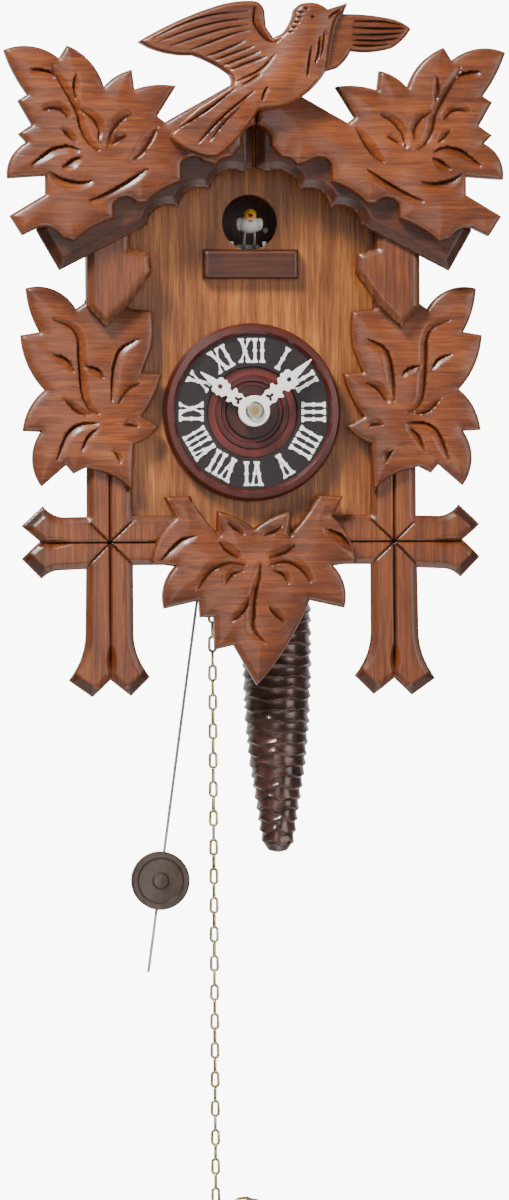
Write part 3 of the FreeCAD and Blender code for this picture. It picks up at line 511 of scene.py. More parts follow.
def line_distance(points, line):
    """Distance from each point to a line, which side it is on, and how far along (0 to 1)."""
    starts, ends = line[:-1], line[1:]
    runs = ends - starts
    lengths = np.maximum(np.linalg.norm(runs, axis=1), 1e-9)
    best = np.full(len(points), 1e9)
    side = np.zeros(len(points))
    along = np.zeros(len(points))
    total = lengths.sum()
    walked = np.concatenate([[0], np.cumsum(lengths)])[:-1]
    for start, run, length, before in zip(starts, runs, lengths, walked):
        away = points - start
        t = np.clip((away @ run) / length ** 2, 0, 1)
        gap = away - t[:, None] * run
        distance = np.linalg.norm(gap, axis=1)
        closer = distance < best
        best[closer] = distance[closer]
        side[closer] = np.sign(run[0] * away[closer, 1] - run[1] * away[closer, 0])
        along[closer] = (before + t[closer] * length) / total
    return best, side, along


class Groove:
    """A carved line: points in millimetres, depth, and the widths of its steep and its sloping side."""

    def __init__(self, points, depth=0.9, steep=0.35, slope=1.7, fade=0.45, mirror=False):
        self.points = [(-x if mirror else x, z) for x, z in points]
        self.depth, self.steep, self.slope, self.fade = depth, steep, slope, fade
        if mirror:
            self.steep, self.slope = slope, steep

    def cut(self, places):
        line = curve_through(self.points)
        distance, side, along = line_distance(places, line)
        width = np.where(side >= 0, self.steep, self.slope)
        taper = np.clip(np.sin(np.pi * np.clip(along, 0, 1)), 0, 1) ** self.fade
        width = np.maximum(width * (0.35 + 0.65 * taper), 0.05)
        profile = np.clip(1 - distance / width, 0, 1) ** 1.25
        # The dark share is painted shade along the groove's bottom.
        dark = np.clip(1 - distance / 0.6, 0, 1) * taper
        return self.depth * taper * profile, dark


def inside_loops(points, loops):
    inside = np.zeros(len(points), bool)
    for loop in loops:
        after = np.roll(loop, -1, axis=0)
        for (x0, z0), (x1, z1) in zip(loop, after):
            crosses = (z0 > points[:, 1]) != (z1 > points[:, 1])
            with np.errstate(divide="ignore", invalid="ignore"):
                at = x0 + (points[:, 1] - z0) * (x1 - x0) / ((z1 - z0) or 1e-12)
            inside ^= crosses & (points[:, 0] < at)
    return inside


def triangulated(rims, inner=None):
    """Points and triangles that fill the outline loops, with inner points if given."""
    flat = np.concatenate(rims + ([] if inner is None else [inner]))
    edges, start = [], 0
    for rim in rims:
        edges += [(start + i, start + (i + 1) % len(rim)) for i in range(len(rim))]
        start += len(rim)
    made = delaunay_2d_cdt([Vector(p) for p in flat], edges, [], 0, 1e-5)
    points = np.array([(v.x, v.y) for v in made[0]])
    faces = np.array([list(f) for f in made[2]])
    return points, faces[inside_loops(points[faces].mean(axis=1), rims)]


def signed_area(corners):
    (ax, az), (bx, bz), (cx, cz) = corners
    return (bx - ax) * (cz - az) - (cx - ax) * (bz - az)


def plate_faces(points, faces):
    """Front, back and side faces of a closed plate whose back repeats the front's points."""
    count = len(points)
    flip = signed_area(points[faces[0]]) < 0
    pairs = {pair for a, b, c in faces for pair in ((a, b), (b, c), (c, a))}
    made = []
    for a, b, c in faces:
        made.append((a, c, b) if flip else (a, b, c))
        made.append((a + count, b + count, c + count) if flip else (a + count, c + count, b + count))
    for a, b in pairs:
        if (b, a) not in pairs:
            made.append((a, b, b + count, a + count) if flip else (b, a, a + count, b + count))
    return made


def rim_distance(points, rims):
    """Distance from each point to the nearest outline loop."""
    gap = np.full(len(points), 1e9)
    for rim in rims:
        gap = np.minimum(gap, line_distance(points, np.vstack([rim, rim[:1]]))[0])
    return gap


def carve(node, material, grooves=(), spacing=0.6, rounding=1.1, edge_drop=0.9, relief=None,
          stain_and_shade=None):
    """A carved plate in place of a flat CAD node: same outline, worked front, eased edges."""
    loops, front, back = front_outline(node)
    rims = [resampled(loop, spacing) for loop in loops]
    low, high = rims[0].min(0), rims[0].max(0)
    xs = np.arange(low[0], high[0], spacing)
    zs = np.arange(low[1], high[1], spacing * 0.9)
    grid = np.array([(x + (spacing / 2 if row % 2 else 0), z) for row, z in enumerate(zs) for x in xs])
    lines = [curve_through(g.points) for g in grooves]
    extra = [resampled(line, 0.35)[:-1] for line in lines]
    if extra:
        extra = np.concatenate(extra)
        near = np.min(np.linalg.norm(grid[:, None, :] - extra[None, ::2, :], axis=2), axis=1) > spacing * 0.42
        grid = np.concatenate([grid[near], extra])
    grid = grid[inside_loops(grid, loops)]
    grid = grid[rim_distance(grid, rims) > spacing * 0.45]
    points, faces = triangulated(rims, grid)
    gap = rim_distance(points, rims)
    eased = np.clip(1 - gap / rounding, 0, 1)
    drop = edge_drop * (1 - np.sqrt(np.clip(1 - eased ** 2, 0, 1)))
    dark = np.zeros(len(points))
    lift = relief(points, gap) if relief else 0.0
    for groove in grooves:
        depth, shade = groove.cut(points)
        drop += depth
        dark = np.maximum(dark, shade)
    ys = front + np.clip(drop + lift, 0, (back - front) * 0.7)
    verts = [(p[0] * MM, y * MM, p[1] * MM) for p, y in zip(points, ys)]
    verts += [(p[0] * MM, back * MM, p[1] * MM) for p in points]
    mesh = mesh_of(node + "_carved", verts, plate_faces(points, faces))
    piece = new_object(node + "_carved", mesh, material, "root")
    # Painted shade in the carved grooves.
    paint(mesh, "cut", np.clip(dark, 0, 1))
    tint = stain_and_shade(points, gap) if stain_and_shade else edge_stain(points, gap)
    paint(mesh, "stain_and_shade", np.clip(tint, 0, 1))
    # Painted highlight: a thin pale band part way down the eased rim.
    paint(mesh, "rim_highlight", np.exp(-((gap - rounding * 0.55) / 0.28) ** 2) * 0.55)
    sharp_by_angle(piece, 50)
    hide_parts(node)


def paint(mesh, name, values):
    """Set an attribute on a plate's front points; the points of its back stay at zero."""
    layer = mesh.attributes.new(name, "FLOAT", "POINT")
    layer.data.foreach_set("value", np.concatenate([values, np.zeros(len(values))]).astype(np.float32))


def edge_stain(points, gap):
    """The stain gathers dark towards the rim, more in some places than in others."""
    wave = 0.5 + 0.5 * np.sin(points[:, 0] * 0.13 + 1.3) * np.cos(points[:, 1] * 0.11 - 0.6)
    return (0.5 + 0.5 * wave) * np.exp(-gap / 3.2)


def groove_set(groups, mirror=False):
    return [Groove(points, mirror=mirror, **style) for points, style in groups]


# ------------------------ carved plates
VEIN = {"depth": 1.7, "steep": 0.4, "slope": 3.0}
NICK = {"depth": 1.5, "steep": 0.4, "slope": 2.4, "fade": 0.9}
SCOOP = {"depth": 1.9, "steep": 0.5, "slope": 3.4, "fade": 0.8}
DEEP_SCOOP = {"depth": 2.6, "steep": 0.4, "slope": 3.6, "fade": 0.4}
TOP_LEAF_CUTS = [
    ([(69.2, 44.6), (67.6, 40.8), (63.3, 33.3), (60.6, 27.9), (59.5, 23.0), (56.8, 18.1),
      (53.0, 15.7)], VEIN),
    ([(67.6, 40.8), (70.8, 42.5), (76.3, 43.0)], VEIN),
    ([(60.8, 41.9), (61.7, 37.6), (60.8, 32.5)], NICK),
    ([(59.5, 29.5), (55.2, 26.2), (53.3, 22.5), (53.6, 19.0)], VEIN),
    ([(50.6, 16.5), (49.2, 21.4), (46.0, 25.7), (41.7, 28.4)], VEIN),
    ([(49.2, 17.6), (47.1, 19.2), (43.8, 20.8)], SCOOP),
    ([(43.3, 11.9), (39.5, 14.4), (36.3, 18.7), (33.3, 24.1)], SCOOP),
    ([(72.5, 29.2), (69.2, 29.8), (66.0, 29.2), (63.3, 26.2)], VEIN),
    ([(66.0, 23.5), (63.3, 20.3), (60.6, 18.4)], NICK),
    ([(59.5, 15.7), (63.8, 17.3), (68.7, 16.5), (71.9, 14.4), (76.3, 10.8)], VEIN),
    ([(59.0, 13.8), (62.2, 12.7), (66.0, 9.8)], SCOOP),
    ([(54.6, 5.7), (60.0, 5.2), (65.4, 6.2), (70.3, 8.7)], SCOOP),
    ([(36.8, 10.0), (43.8, 5.7), (50.3, 1.9), (56.8, -1.1)], VEIN),
]
SIDE_LEAF_CUTS = [
    ([(38.5, -46.3), (44.6, -49.3), (47.1, -53.9), (48.1, -61.0), (48.1, -68.1)], VEIN),
    ([(68.5, -39.7), (61.9, -42.7), (59.6, -46.8), (59.3, -53.9), (58.3, -65.1), (55.8, -70.2),
      (52.2, -71.9)], VEIN),
    ([(50.7, -60.0), (52.7, -56.9), (57.8, -55.4)], NICK),
    ([(60.8, -58.0), (63.4, -53.4), (69.0, -51.4)], NICK),
    ([(46.1, -68.6), (42.5, -63.6), (38.5, -61.5)], VEIN),
    ([(64.9, -66.1), (59.8, -71.2), (54.7, -72.2)], NICK),
    ([(52.2, -75.0), (58.8, -75.2), (62.9, -77.8), (65.4, -82.9), (66.9, -87.9)], VEIN),
    ([(52.2, -76.3), (56.3, -79.3), (58.8, -85.4)], NICK),
    ([(44.6, -75.7), (42.0, -75.7), (39.0, -76.3)], NICK),
    ([(48.1, -83.9), (46.5, -86.0), (45.1, -89.0)], NICK),
]
BOTTOM_LEAF_CUTS = [
    ([(1.9, -122.0), (1.6, -127.0), (0.0, -134.7), (-0.3, -140.0), (-0.5, -145.0), (3.5, -149.9)], VEIN),
    ([(-1.9, -133.7), (-3.5, -138.5), (-8.4, -142.9)], NICK),
    ([(10.5, -142.9), (6.8, -140.1), (4.1, -136.4)], NICK),
    ([(-3.0, -123.4), (-8.4, -122.6), (-13.8, -124.5), (-17.0, -127.7), (-19.5, -132.0)], VEIN),
    ([(-3.5, -125.0), (-7.8, -126.6), (-10.5, -130.4)], NICK),
    ([(19.2, -129.3), (15.4, -124.5), (10.5, -122.3), (4.6, -123.4)], VEIN),
    ([(11.6, -130.1), (9.5, -126.6), (5.7, -125.0)], NICK),
    ([(-5.1, -121.0), (-9.5, -118.5), (-12.2, -115.3)], VEIN),
    ([(13.8, -116.4), (10.5, -119.1), (4.6, -121.0)], VEIN),
    ([(-3.0, -113.1), (-6.8, -111.0), (-9.5, -107.7)], NICK),
    ([(10.0, -109.3), (6.8, -112.0), (2.4, -113.4)], NICK),
    ([(-32.2, -121.8), (-28.4, -117.4), (-24.6, -114.2), (-19.2, -113.1)], SCOOP),
    ([(23.5, -110.7), (29.5, -113.1), (34.2, -118.6)], SCOOP),
    ([(-12.0, -113.6), (-16.6, -107.0), (-22.6, -99.2)], DEEP_SCOOP),
    ([(22.6, -99.2), (16.6, -107.0), (12.0, -113.6)], DEEP_SCOOP),
]


def leaf_relief(points, gap):
    """A gentle swell over each lobe, falling towards the rim."""
    wave = np.sin(points[:, 0] * 0.31) * np.sin(points[:, 1] * 0.27)
    return 1.5 * np.exp(-gap / 4.0) + 0.2 * (1 + wave)


CROSS_ENDS = [((78.5, -109.5), (71.2, -102.7)), ((78.5, -120.6), (71.7, -127.5)),
              ((62.8, -162.0), (54.7, -167.7)), ((41.6, -167.4), (35.0, -160.9))]
CROSS_LINE = {"depth": 1.1, "steep": 0.7, "slope": 0.7, "fade": 0.12}
MITRE_LINE = {"depth": 0.8, "steep": 0.45, "slope": 0.45, "fade": 0.2}
LOW_NOTCH = {"depth": 2.2, "steep": 2.0, "slope": 2.0, "fade": 0.9}
SIDE_NOTCH = {"depth": 2.0, "steep": 2.0, "slope": 2.0, "fade": 0.9}
CROSS_CUTS = [
    ([(48.6, -88.0), (48.6, -120.0), (48.6, -155.5)], CROSS_LINE),
    ([(67.5, -115.3), (50.0, -115.3), (26.0, -115.3)], CROSS_LINE),
    ([(40.3, -107.4), (48.6, -115.3), (56.2, -123.2)], MITRE_LINE),
    ([(55.6, -108.6), (48.6, -115.3), (41.3, -122.4)], MITRE_LINE),
    ([(48.5, -150.0), (48.5, -161.5)], LOW_NOTCH),
    ([(62.0, -115.4), (74.0, -115.4)], SIDE_NOTCH),
]


def bevel(points, gap):
    """A broad chamfer round the arms."""
    return 1.2 * np.clip(1 - gap / 2.3, 0, 1)


def scoop_edge(points, gap):
    """A deep chamfer that makes each scallop read as a rounded scoop."""
    return 2.2 * np.clip(1 - gap / 3.0, 0, 1) ** 0.8


def cut_ends(points):
    """How far each point lies into the slanting cut at the nearest prong end, from 0 to 1."""
    folded = np.column_stack([np.abs(points[:, 0]), points[:, 1]])
    best = np.full(len(points), 1e9)
    for start, end in CROSS_ENDS:
        best = np.minimum(best, line_distance(folded, np.array([start, end]))[0])
    return np.clip(1 - best / 3.4, 0, 1)


def cross_relief(points, gap):
    return bevel(points, gap) + 2.2 * cut_ends(points)


# Painted shade on the chamfers round the arms, and the darker end grain of the slanting cut ends.
def cross_stain_and_shade(points, gap):
    return 0.85 * np.exp(-gap / 2.0) + 1.1 * np.clip(cut_ends(points) * 4, 0, 1)


def make_carvings():
    for side in ("right", "left"):
        mirror = side == "left"
        carve("branch_leaf_" + side, CARVED, groove_set(TOP_LEAF_CUTS, mirror), relief=leaf_relief)
        carve("side_leaf_" + side, CARVED, groove_set(SIDE_LEAF_CUTS, mirror), relief=leaf_relief)
        carve("cross_frame_" + side, POST, groove_set(CROSS_CUTS, mirror), rounding=0.6, edge_drop=0.3,
              relief=cross_relief, stain_and_shade=cross_stain_and_shade)
        carve("upper_post_" + side, POST, spacing=0.7, rounding=0.7, edge_drop=0.4, relief=bevel)
        carve("fascia_" + side, RAIL, spacing=0.7, rounding=0.6, edge_drop=0.3, relief=scoop_edge)
    carve("bottom_leaf", CARVED, groove_set(BOTTOM_LEAF_CUTS), spacing=0.55, relief=leaf_relief)
    carve("perch_rail", RAIL, spacing=0.7, rounding=1.6, edge_drop=1.4)


make_carvings()


# ------------------------ carved bird
FEATHER = {"depth": 0.75, "steep": 0.35, "slope": 1.0, "fade": 0.5}
DEEP_FEATHER = {"depth": 1.1, "steep": 0.5, "slope": 1.0, "fade": 0.4}
SHOULDER = {"depth": 1.6, "steep": 2.4, "slope": 0.4, "fade": 0.4}
EYE = {"depth": 1.1, "steep": 0.9, "slope": 0.9, "fade": 1.0}
NAPE_NICK = {"depth": 0.6, "steep": 0.35, "slope": 0.5, "fade": 0.8}
BIRD_CUTS = [
    ([(-35.5, 52.7), (-25.5, 57.7), (-15.4, 60.8), (-2.7, 62.1)], FEATHER),
    ([(-34.2, 51.4), (-24.1, 55.4), (-13.4, 58.4), (-2.0, 59.8)], FEATHER),
    ([(-30.2, 50.0), (-20.1, 53.7), (-10.7, 56.4), (-2.7, 57.4)], FEATHER),
    ([(-23.5, 48.7), (-15.4, 52.0), (-8.0, 54.7), (-2.7, 55.7)], FEATHER),
    ([(-18.8, 46.4), (-12.1, 49.0), (-4.0, 52.4)], FEATHER),
    ([(-16.8, 44.7), (-9.4, 47.7), (-1.4, 50.4)], FEATHER),
    ([(-14.1, 43.0), (-6.7, 46.0), (0.6, 48.7)], FEATHER),
    ([(-10.7, 42.0), (-4.0, 44.7), (2.7, 47.0)], FEATHER),
    ([(-8.1, 38.3), (0.0, 42.3), (5.3, 47.7)], FEATHER),
    ([(-6.1, 37.0), (0.6, 41.0)], FEATHER),
    ([(-1.4, 63.8), (-1.7, 58.4), (1.3, 53.7), (4.6, 51.7), (7.4, 53.0)], SHOULDER),
    ([(32.1, 59.1), (41.5, 59.1), (50.2, 57.7)], DEEP_FEATHER),
    ([(31.5, 57.1), (41.5, 56.7), (50.2, 56.7)], DEEP_FEATHER),
    ([(31.5, 54.7), (41.5, 54.7), (48.9, 55.1)], DEEP_FEATHER),
    ([(31.5, 52.7), (40.2, 52.7), (47.6, 53.4)], DEEP_FEATHER),
    ([(31.5, 51.0), (38.1, 50.9), (44.9, 51.4)], DEEP_FEATHER),
    ([(16.0, 39.6), (16.6, 45.0), (17.4, 50.4)], DEEP_FEATHER),
    ([(18.7, 44.3), (19.8, 48.0), (20.4, 53.7)], DEEP_FEATHER),
    ([(20.7, 45.7), (21.4, 50.0), (22.0, 55.7)], FEATHER),
    ([(29.5, 64.4), (26.8, 62.4), (23.4, 59.7)], DEEP_FEATHER),
    ([(17.2, 60.5), (18.6, 59.5)], EYE),
    ([(-1.7, 35.3), (-8.1, 30.3), (-14.1, 24.9), (-20.8, 17.5)], DEEP_FEATHER),
    ([(-5.4, 31.0), (-12.1, 24.3), (-16.8, 18.2)], FEATHER),
    ([(-8.1, 36.3), (-17.5, 28.9), (-28.2, 22.2)], DEEP_FEATHER),
    ([(0.6, 31.6), (1.3, 34.5), (2.7, 36.7)], DEEP_FEATHER),
]
NAPE_NICKS = [((12.6, 62.0), (15.0, 61.2)), ((12.0, 60.2), (14.6, 59.6)), ((11.2, 58.5), (13.8, 58.0)),
              ((10.2, 56.8), (12.8, 56.4)), ((9.2, 55.2), (11.4, 55.0)), ((14.6, 63.2), (16.8, 62.6))]
BREAST_EDGE = [(29.6, 64.6), (26.0, 61.0), (24.4, 57.0), (23.0, 50.0), (22.2, 44.5), (18.5, 38.0),
               (14.0, 34.0)]
BODY_LINE = [(17.0, 60.5), (15.5, 54.0), (12.0, 46.0), (5.5, 37.0), (-2.0, 33.0)]


def bird_relief(points, gap):
    """The body swells, the near wing and the tail lie lower and the far wing is set back."""
    body = curve_through(BODY_LINE)
    away = line_distance(points, body)[0]
    lift = 2.4 * (1 - np.exp(-(away / 8.0) ** 2))
    edge = curve_through(BREAST_EDGE)
    distance, side, _ = line_distance(points, edge)
    behind = np.clip(side * distance / 0.9, 0, 1) * (points[:, 0] > 17.5)
    lift = lift + behind * (3.6 - 0.6 * lift)
    tail = np.clip((34.0 - points[:, 1]) / 10.0, 0, 1) * np.clip((2.0 - points[:, 0]) / 6.0, 0, 1)
    return lift + 1.2 * tail


def make_crest_bird():
    cuts = groove_set(BIRD_CUTS)
    cuts += [Groove(nick, **NAPE_NICK) for nick in NAPE_NICKS]
    # The crest bird only grows darker towards its top.
    carve("crest_bird", CARVED, cuts, spacing=0.5, rounding=1.8, edge_drop=1.7, relief=bird_relief,
          stain_and_shade=lambda points, gap: 0.55 * np.clip((points[:, 1] - 40) / 22, 0, 1))


make_crest_bird()


# ------------------------ thin cut pieces: hands and numerals
def prism(loops, front, back):
    """A flat closed solid from loops (outline first, then holes), as points and faces in millimetres."""
    points, faces = triangulated([np.array(loop, float) for loop in loops])
    verts = [(p[0], front, p[1]) for p in points] + [(p[0], back, p[1]) for p in points]
    return verts, plate_faces(points, faces)


def circle_loop(x, z, radius, steps=28):
    return [(x + radius * math.cos(2 * math.pi * i / steps), z + radius * math.sin(2 * math.pi * i / steps))
            for i in range(steps)]


def trefoil(z, reach):
    """A hole of three round lobes."""
    loop = []
    for step in range(48):
        angle = 2 * math.pi * step / 48
        radius = reach * (0.66 + 0.34 * math.cos(3 * (angle - math.pi / 2)))
        loop.append((radius * math.cos(angle), z + radius * math.sin(angle)))
    return loop


HAND_HALF = [(2.3, 4.6), (2.1, 6.0), (2.7, 7.6), (2.0, 9.0), (3.1, 10.2), (3.0, 11.0), (1.5, 11.2),
             (1.3, 12.3), (2.1, 12.6), (3.0, 13.2), (2.7, 14.3), (3.5, 15.2), (3.0, 16.2), (3.3, 17.3),
             (2.5, 18.3), (1.7, 18.2), (1.2, 19.0), (1.25, 20.0)]


def hand_loops(length, ring, width):
    """An ornate hand that points along +z: eye, shoulders, a lobed ring and a spear."""
    share = ring / 16.0
    right = [(x * width, z * share if z > 5 else z) for x, z in HAND_HALF]
    left = [(-x, z) for x, z in reversed(right)]
    eye = [(5.2 * math.sin(a), 5.2 * -math.cos(a)) for a in np.linspace(-2.6, 2.6, 40)]
    outline = right + [(0.2, length), (-0.2, length)] + left + eye
    return [outline, circle_loop(0, ring, 0.85), trefoil(6.9 * share + 0.35, 1.55), circle_loop(0, 0, 1.2)]


def spun(verts, degrees, centre_z):
    """Points turned clockwise as seen from the front, about a line along Y, then moved up."""
    turn = math.radians(degrees)
    made = []
    for x, y, z in verts:
        made.append(((x * math.cos(turn) + z * math.sin(turn)) * MM, y * MM,
                     (-x * math.sin(turn) + z * math.cos(turn) + centre_z) * MM))
    return made


ARBOR_Z = -71.0
NUT_RADIUS = 3.2
DIAL_Z = -71.2
DIAL_RADIUS = 30.2


def make_hand(node, body, angle, length, ring, width):
    """One hand, turned clockwise from twelve, with softened edges."""
    low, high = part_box(node)
    verts, faces = prism(hand_loops(length, ring, width), low.y / MM, high.y / MM)
    piece = new_object(node + "_cut", mesh_of(node + "_cut", spun(verts, angle, ARBOR_Z), faces), WHITE, body,
                       smooth=False)
    bevel = piece.modifiers.new("edge", "BEVEL")
    bevel.width = 0.12 * MM
    bevel.segments = 2
    bevel.limit_method = "ANGLE"
    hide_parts(node)


def stroke_loop(x0, z0, x1, z1, half, flare):
    """One stroke of a numeral: flared ends and a bead half way."""
    stations = [(0.0, half + flare), (0.06, half + flare * 1.3), (0.13, half + flare * 0.5), (0.18, half),
                (0.43, half), (0.47, half + 0.24), (0.53, half + 0.24), (0.57, half),
                (0.82, half), (0.87, half + flare * 0.5), (0.94, half + flare * 1.3), (1.0, half + flare)]
    right = [(x0 + (x1 - x0) * t + w, z0 + (z1 - z0) * t) for t, w in stations]
    left = [(x0 + (x1 - x0) * t - w, z0 + (z1 - z0) * t) for t, w in reversed(stations)]
    return right + left


NUMERALS = ["XII", "I", "II", "III", "IIII", "V", "VI", "VII", "VIII", "IX", "X", "XI"]
NUMERAL_LOW, NUMERAL_HIGH = 16.7, 25.1
LETTER_WIDTH = {"I": 2.5, "V": 4.3, "X": 4.4}


def numeral_loops(text):
    """Strokes of one numeral, upright over the dial's centre."""
    total = sum(LETTER_WIDTH[c] for c in text)
    squeeze = min(1.0, 9.8 / total)
    x = -total / 2 * squeeze
    loops = []
    for letter in text:
        wide = LETTER_WIDTH[letter] * squeeze
        middle = x + wide / 2
        lean = wide * 0.5 - 0.7
        flare = 0.42 * squeeze
        if letter == "I":
            loops.append(stroke_loop(middle, NUMERAL_LOW, middle, NUMERAL_HIGH, 0.52 * squeeze, flare))
        if letter == "V":
            loops.append(stroke_loop(middle, NUMERAL_LOW, middle - lean, NUMERAL_HIGH, 0.55 * squeeze, flare))
            loops.append(stroke_loop(middle, NUMERAL_LOW, middle + lean, NUMERAL_HIGH, 0.32, flare))
            loops.append([(middle - lean, NUMERAL_HIGH - 0.6), (middle + lean, NUMERAL_HIGH - 0.6),
                          (middle + lean, NUMERAL_HIGH - 0.15), (middle - lean, NUMERAL_HIGH - 0.15)])
        if letter == "X":
            left, right = middle - lean, middle + lean
            loops.append(stroke_loop(right, NUMERAL_LOW, left, NUMERAL_HIGH, 0.55 * squeeze, flare))
            loops.append(stroke_loop(left, NUMERAL_LOW, right, NUMERAL_HIGH, 0.32, flare))
        x += wide
    return loops


def make_numerals():
    """Twelve raised numerals round the dial, the strokes of one set slightly apart in depth."""
    low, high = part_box("dial_numerals")
    verts, faces = [], []
    for hour, text in enumerate(NUMERALS):
        for index, loop in enumerate(numeral_loops(text)):
            front = low.y / MM + 0.03 * (index % 5)
            made, sides = prism([loop], front, high.y / MM + 0.02)
            base = len(verts)
            verts += spun(made, 30.0 * hour, DIAL_Z)
            faces += [tuple(base + i for i in face) for face in sides]
    mesh = mesh_of("numerals", verts, faces)
    piece = new_object("numerals", mesh, WHITE, "root", smooth=False)
    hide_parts("dial_numerals")


make_numerals()
make_hand("hour_hand", "hour", 306.4, 22.4, 14.1, 0.9)
make_hand("minute_hand", "minute", 48.4, 26.3, 16.0, 1.0)


# ------------------------ dial
def dial_material():
    """Red rim and centre with a black ring for the numerals, brushed with an uneven dark wash."""
    nodes = Nodes("dial_paint")
    radius = nodes.radius(DIAL_Z * MM)
    share = nodes.math("MULTIPLY", radius, 1 / (DIAL_RADIUS * MM))
    red, black = linear(92, 30, 24), linear(28, 18, 17)
    rings = [(0.0, red), (0.287, linear(46, 18, 15)), (0.31, linear(66, 24, 20)), (0.345, red),
             (0.40, linear(52, 20, 17)), (0.425, linear(104, 34, 28)), (0.50, linear(84, 28, 24)),
             (0.513, black), (0.868, linear(30, 20, 18)), (0.874, linear(82, 30, 24)),
             (1.0, linear(70, 26, 20))]
    colour = nodes.ramp(share, rings)
    grain = nodes.noise(nodes.scaled((300, 300, 40)), 1.0, 5.0, 0.6)
    speck = nodes.noise(nodes.scaled((700, 700, 700)), 1.0, 2.0)
    shade = nodes.ramp(grain, [(0.35, (0.45, 0.42, 0.42)), (0.65, (1.25, 1.2, 1.15))])
    colour = nodes.mix(0.55, colour, shade, "MULTIPLY")
    marks = nodes.math("SINE", nodes.math("MULTIPLY", radius, 9000.0))
    nodes.bump(nodes.math("ADD", nodes.math("MULTIPLY", marks, 0.25), speck), 0.12, 0.0003)
    return nodes.finish(colour, 0.42, 0.12)


finish_node("dial", dial_material())


def nut_material():
    """A brass pin end inside a paler nut."""
    nodes = Nodes("hand_nut_metal")
    speck = nodes.noise(nodes.scaled((900, 900, 900)), 1.0, 3.0)
    share = nodes.math("MULTIPLY", nodes.radius(ARBOR_Z * MM), 1 / (NUT_RADIUS * MM))
    colour = nodes.ramp(share, [(0.0, linear(226, 190, 120)), (0.36, linear(206, 176, 120)),
                                (0.42, linear(176, 174, 150)), (1.0, linear(196, 196, 170))])
    nodes.bump(speck, 0.2, 0.0002)
    return nodes.finish(colour, 0.34, 0.1, 1.0)


finish_node("hand_nut", nut_material())


# ------------------------ fir cone weight
CONE_X, CONE_Y = 11.14, -29.0
CONE_ROWS = 24
CONE_WAVES = 5
CONE_PROFILE = [(-131.0, 1.5), (-131.2, 6.0), (-132.8, 10.3), (-136.0, 12.0), (-150.0, 12.1), (-162.0, 12.0),
                (-177.0, 11.3), (-190.5, 10.1), (-200.5, 8.5), (-208.5, 7.2), (-214.5, 6.5), (-219.0, 5.5),
                (-221.4, 3.2), (-222.0, 0.8)]


def row_edge(number, turn):
    """Where the edge above a row of scales runs, in rows from the top: a zigzag that drifts row by row."""
    sway = (turn * CONE_WAVES + number * 0.27 + 0.1 * math.sin(number * 2.4)) % 1.0
    return number + 0.75 * abs(sway - 0.5) + 0.1 * math.sin(6 * math.pi * turn + number * 1.9)


def scale_relief(row, turn):
    """Height of the scales at a place: each row swells down to a thin lip that laps over the next."""
    number = math.floor(row)
    while row_edge(number, turn) > row:
        number -= 1
    while row_edge(number + 1, turn) <= row:
        number += 1
    upper, lower = row_edge(number, turn), row_edge(number + 1, turn)
    share = (row - upper) / (lower - upper)
    if share < 0.8:
        return 0.1 + 0.9 * (share / 0.8) ** 1.6
    return 0.1 + 0.9 * (1.0 - share) / 0.2


def make_cone():
    """Rows of overlapping wavy scales round a long blunt cone."""
    heights = np.array([p[0] for p in CONE_PROFILE])[::-1]
    radii = np.array([p[1] for p in CONE_PROFILE])[::-1]
    around, levels = 180, 520
    top, low = CONE_PROFILE[0][0], CONE_PROFILE[-1][0]
    points = []
    for level in range(levels + 1):
        z = low + (top - low) * level / levels
        base = np.interp(z, heights, radii)
        row = (top - z) / (top - low) * CONE_ROWS
        deep = 0.95 * min(1.0, (top - z) / 2.0, max((z - low) / 4.0, 0.12))
        for step in range(around):
            turn = step / around
            radius = max(base - deep * (1 - scale_relief(row, turn)), 0.3)
            angle = 2 * math.pi * turn
            x, y = CONE_X + radius * math.cos(angle), CONE_Y + radius * math.sin(angle)
            points.append((x * MM, y * MM, z * MM))
    mesh = mesh_of("cone_scales", points, swept_faces(levels + 1, around))
    piece = new_object("cone_scales", mesh, CONE, "weight")
    sharp_by_angle(piece, 55)
    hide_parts("pine_cone_weight")


make_cone()


# ------------------------ little bird
def blob(name, x, rings, material, sides=28):
    """A closed body swept through rings (step in x, y, z, half-width, half-height, direction in y and z)."""
    points = []
    for shift, y, z, wide, high, along in rings:
        centre = Vector((x + shift, y, z))
        across = Vector((1, 0, 0))
        up = across.cross(Vector((0,) + along).normalized()).normalized()
        for step in range(sides):
            angle = 2 * math.pi * step / sides
            point = centre + across * wide * math.cos(angle) + up * high * math.sin(angle)
            points.append(point * MM)
    bird_piece(name, points, swept_faces(len(rings), sides), material, True)


def bird_piece(name, points, faces, material, smooth):
    piece = new_object(name, mesh_of(name, points, faces), material, "bird", smooth)
    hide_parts("little_bird")


def painted(name, colour, shade):
    return simple(name, linear(*colour), linear(*shade), 0.42, 600, coat=0.25, bump=0.08)


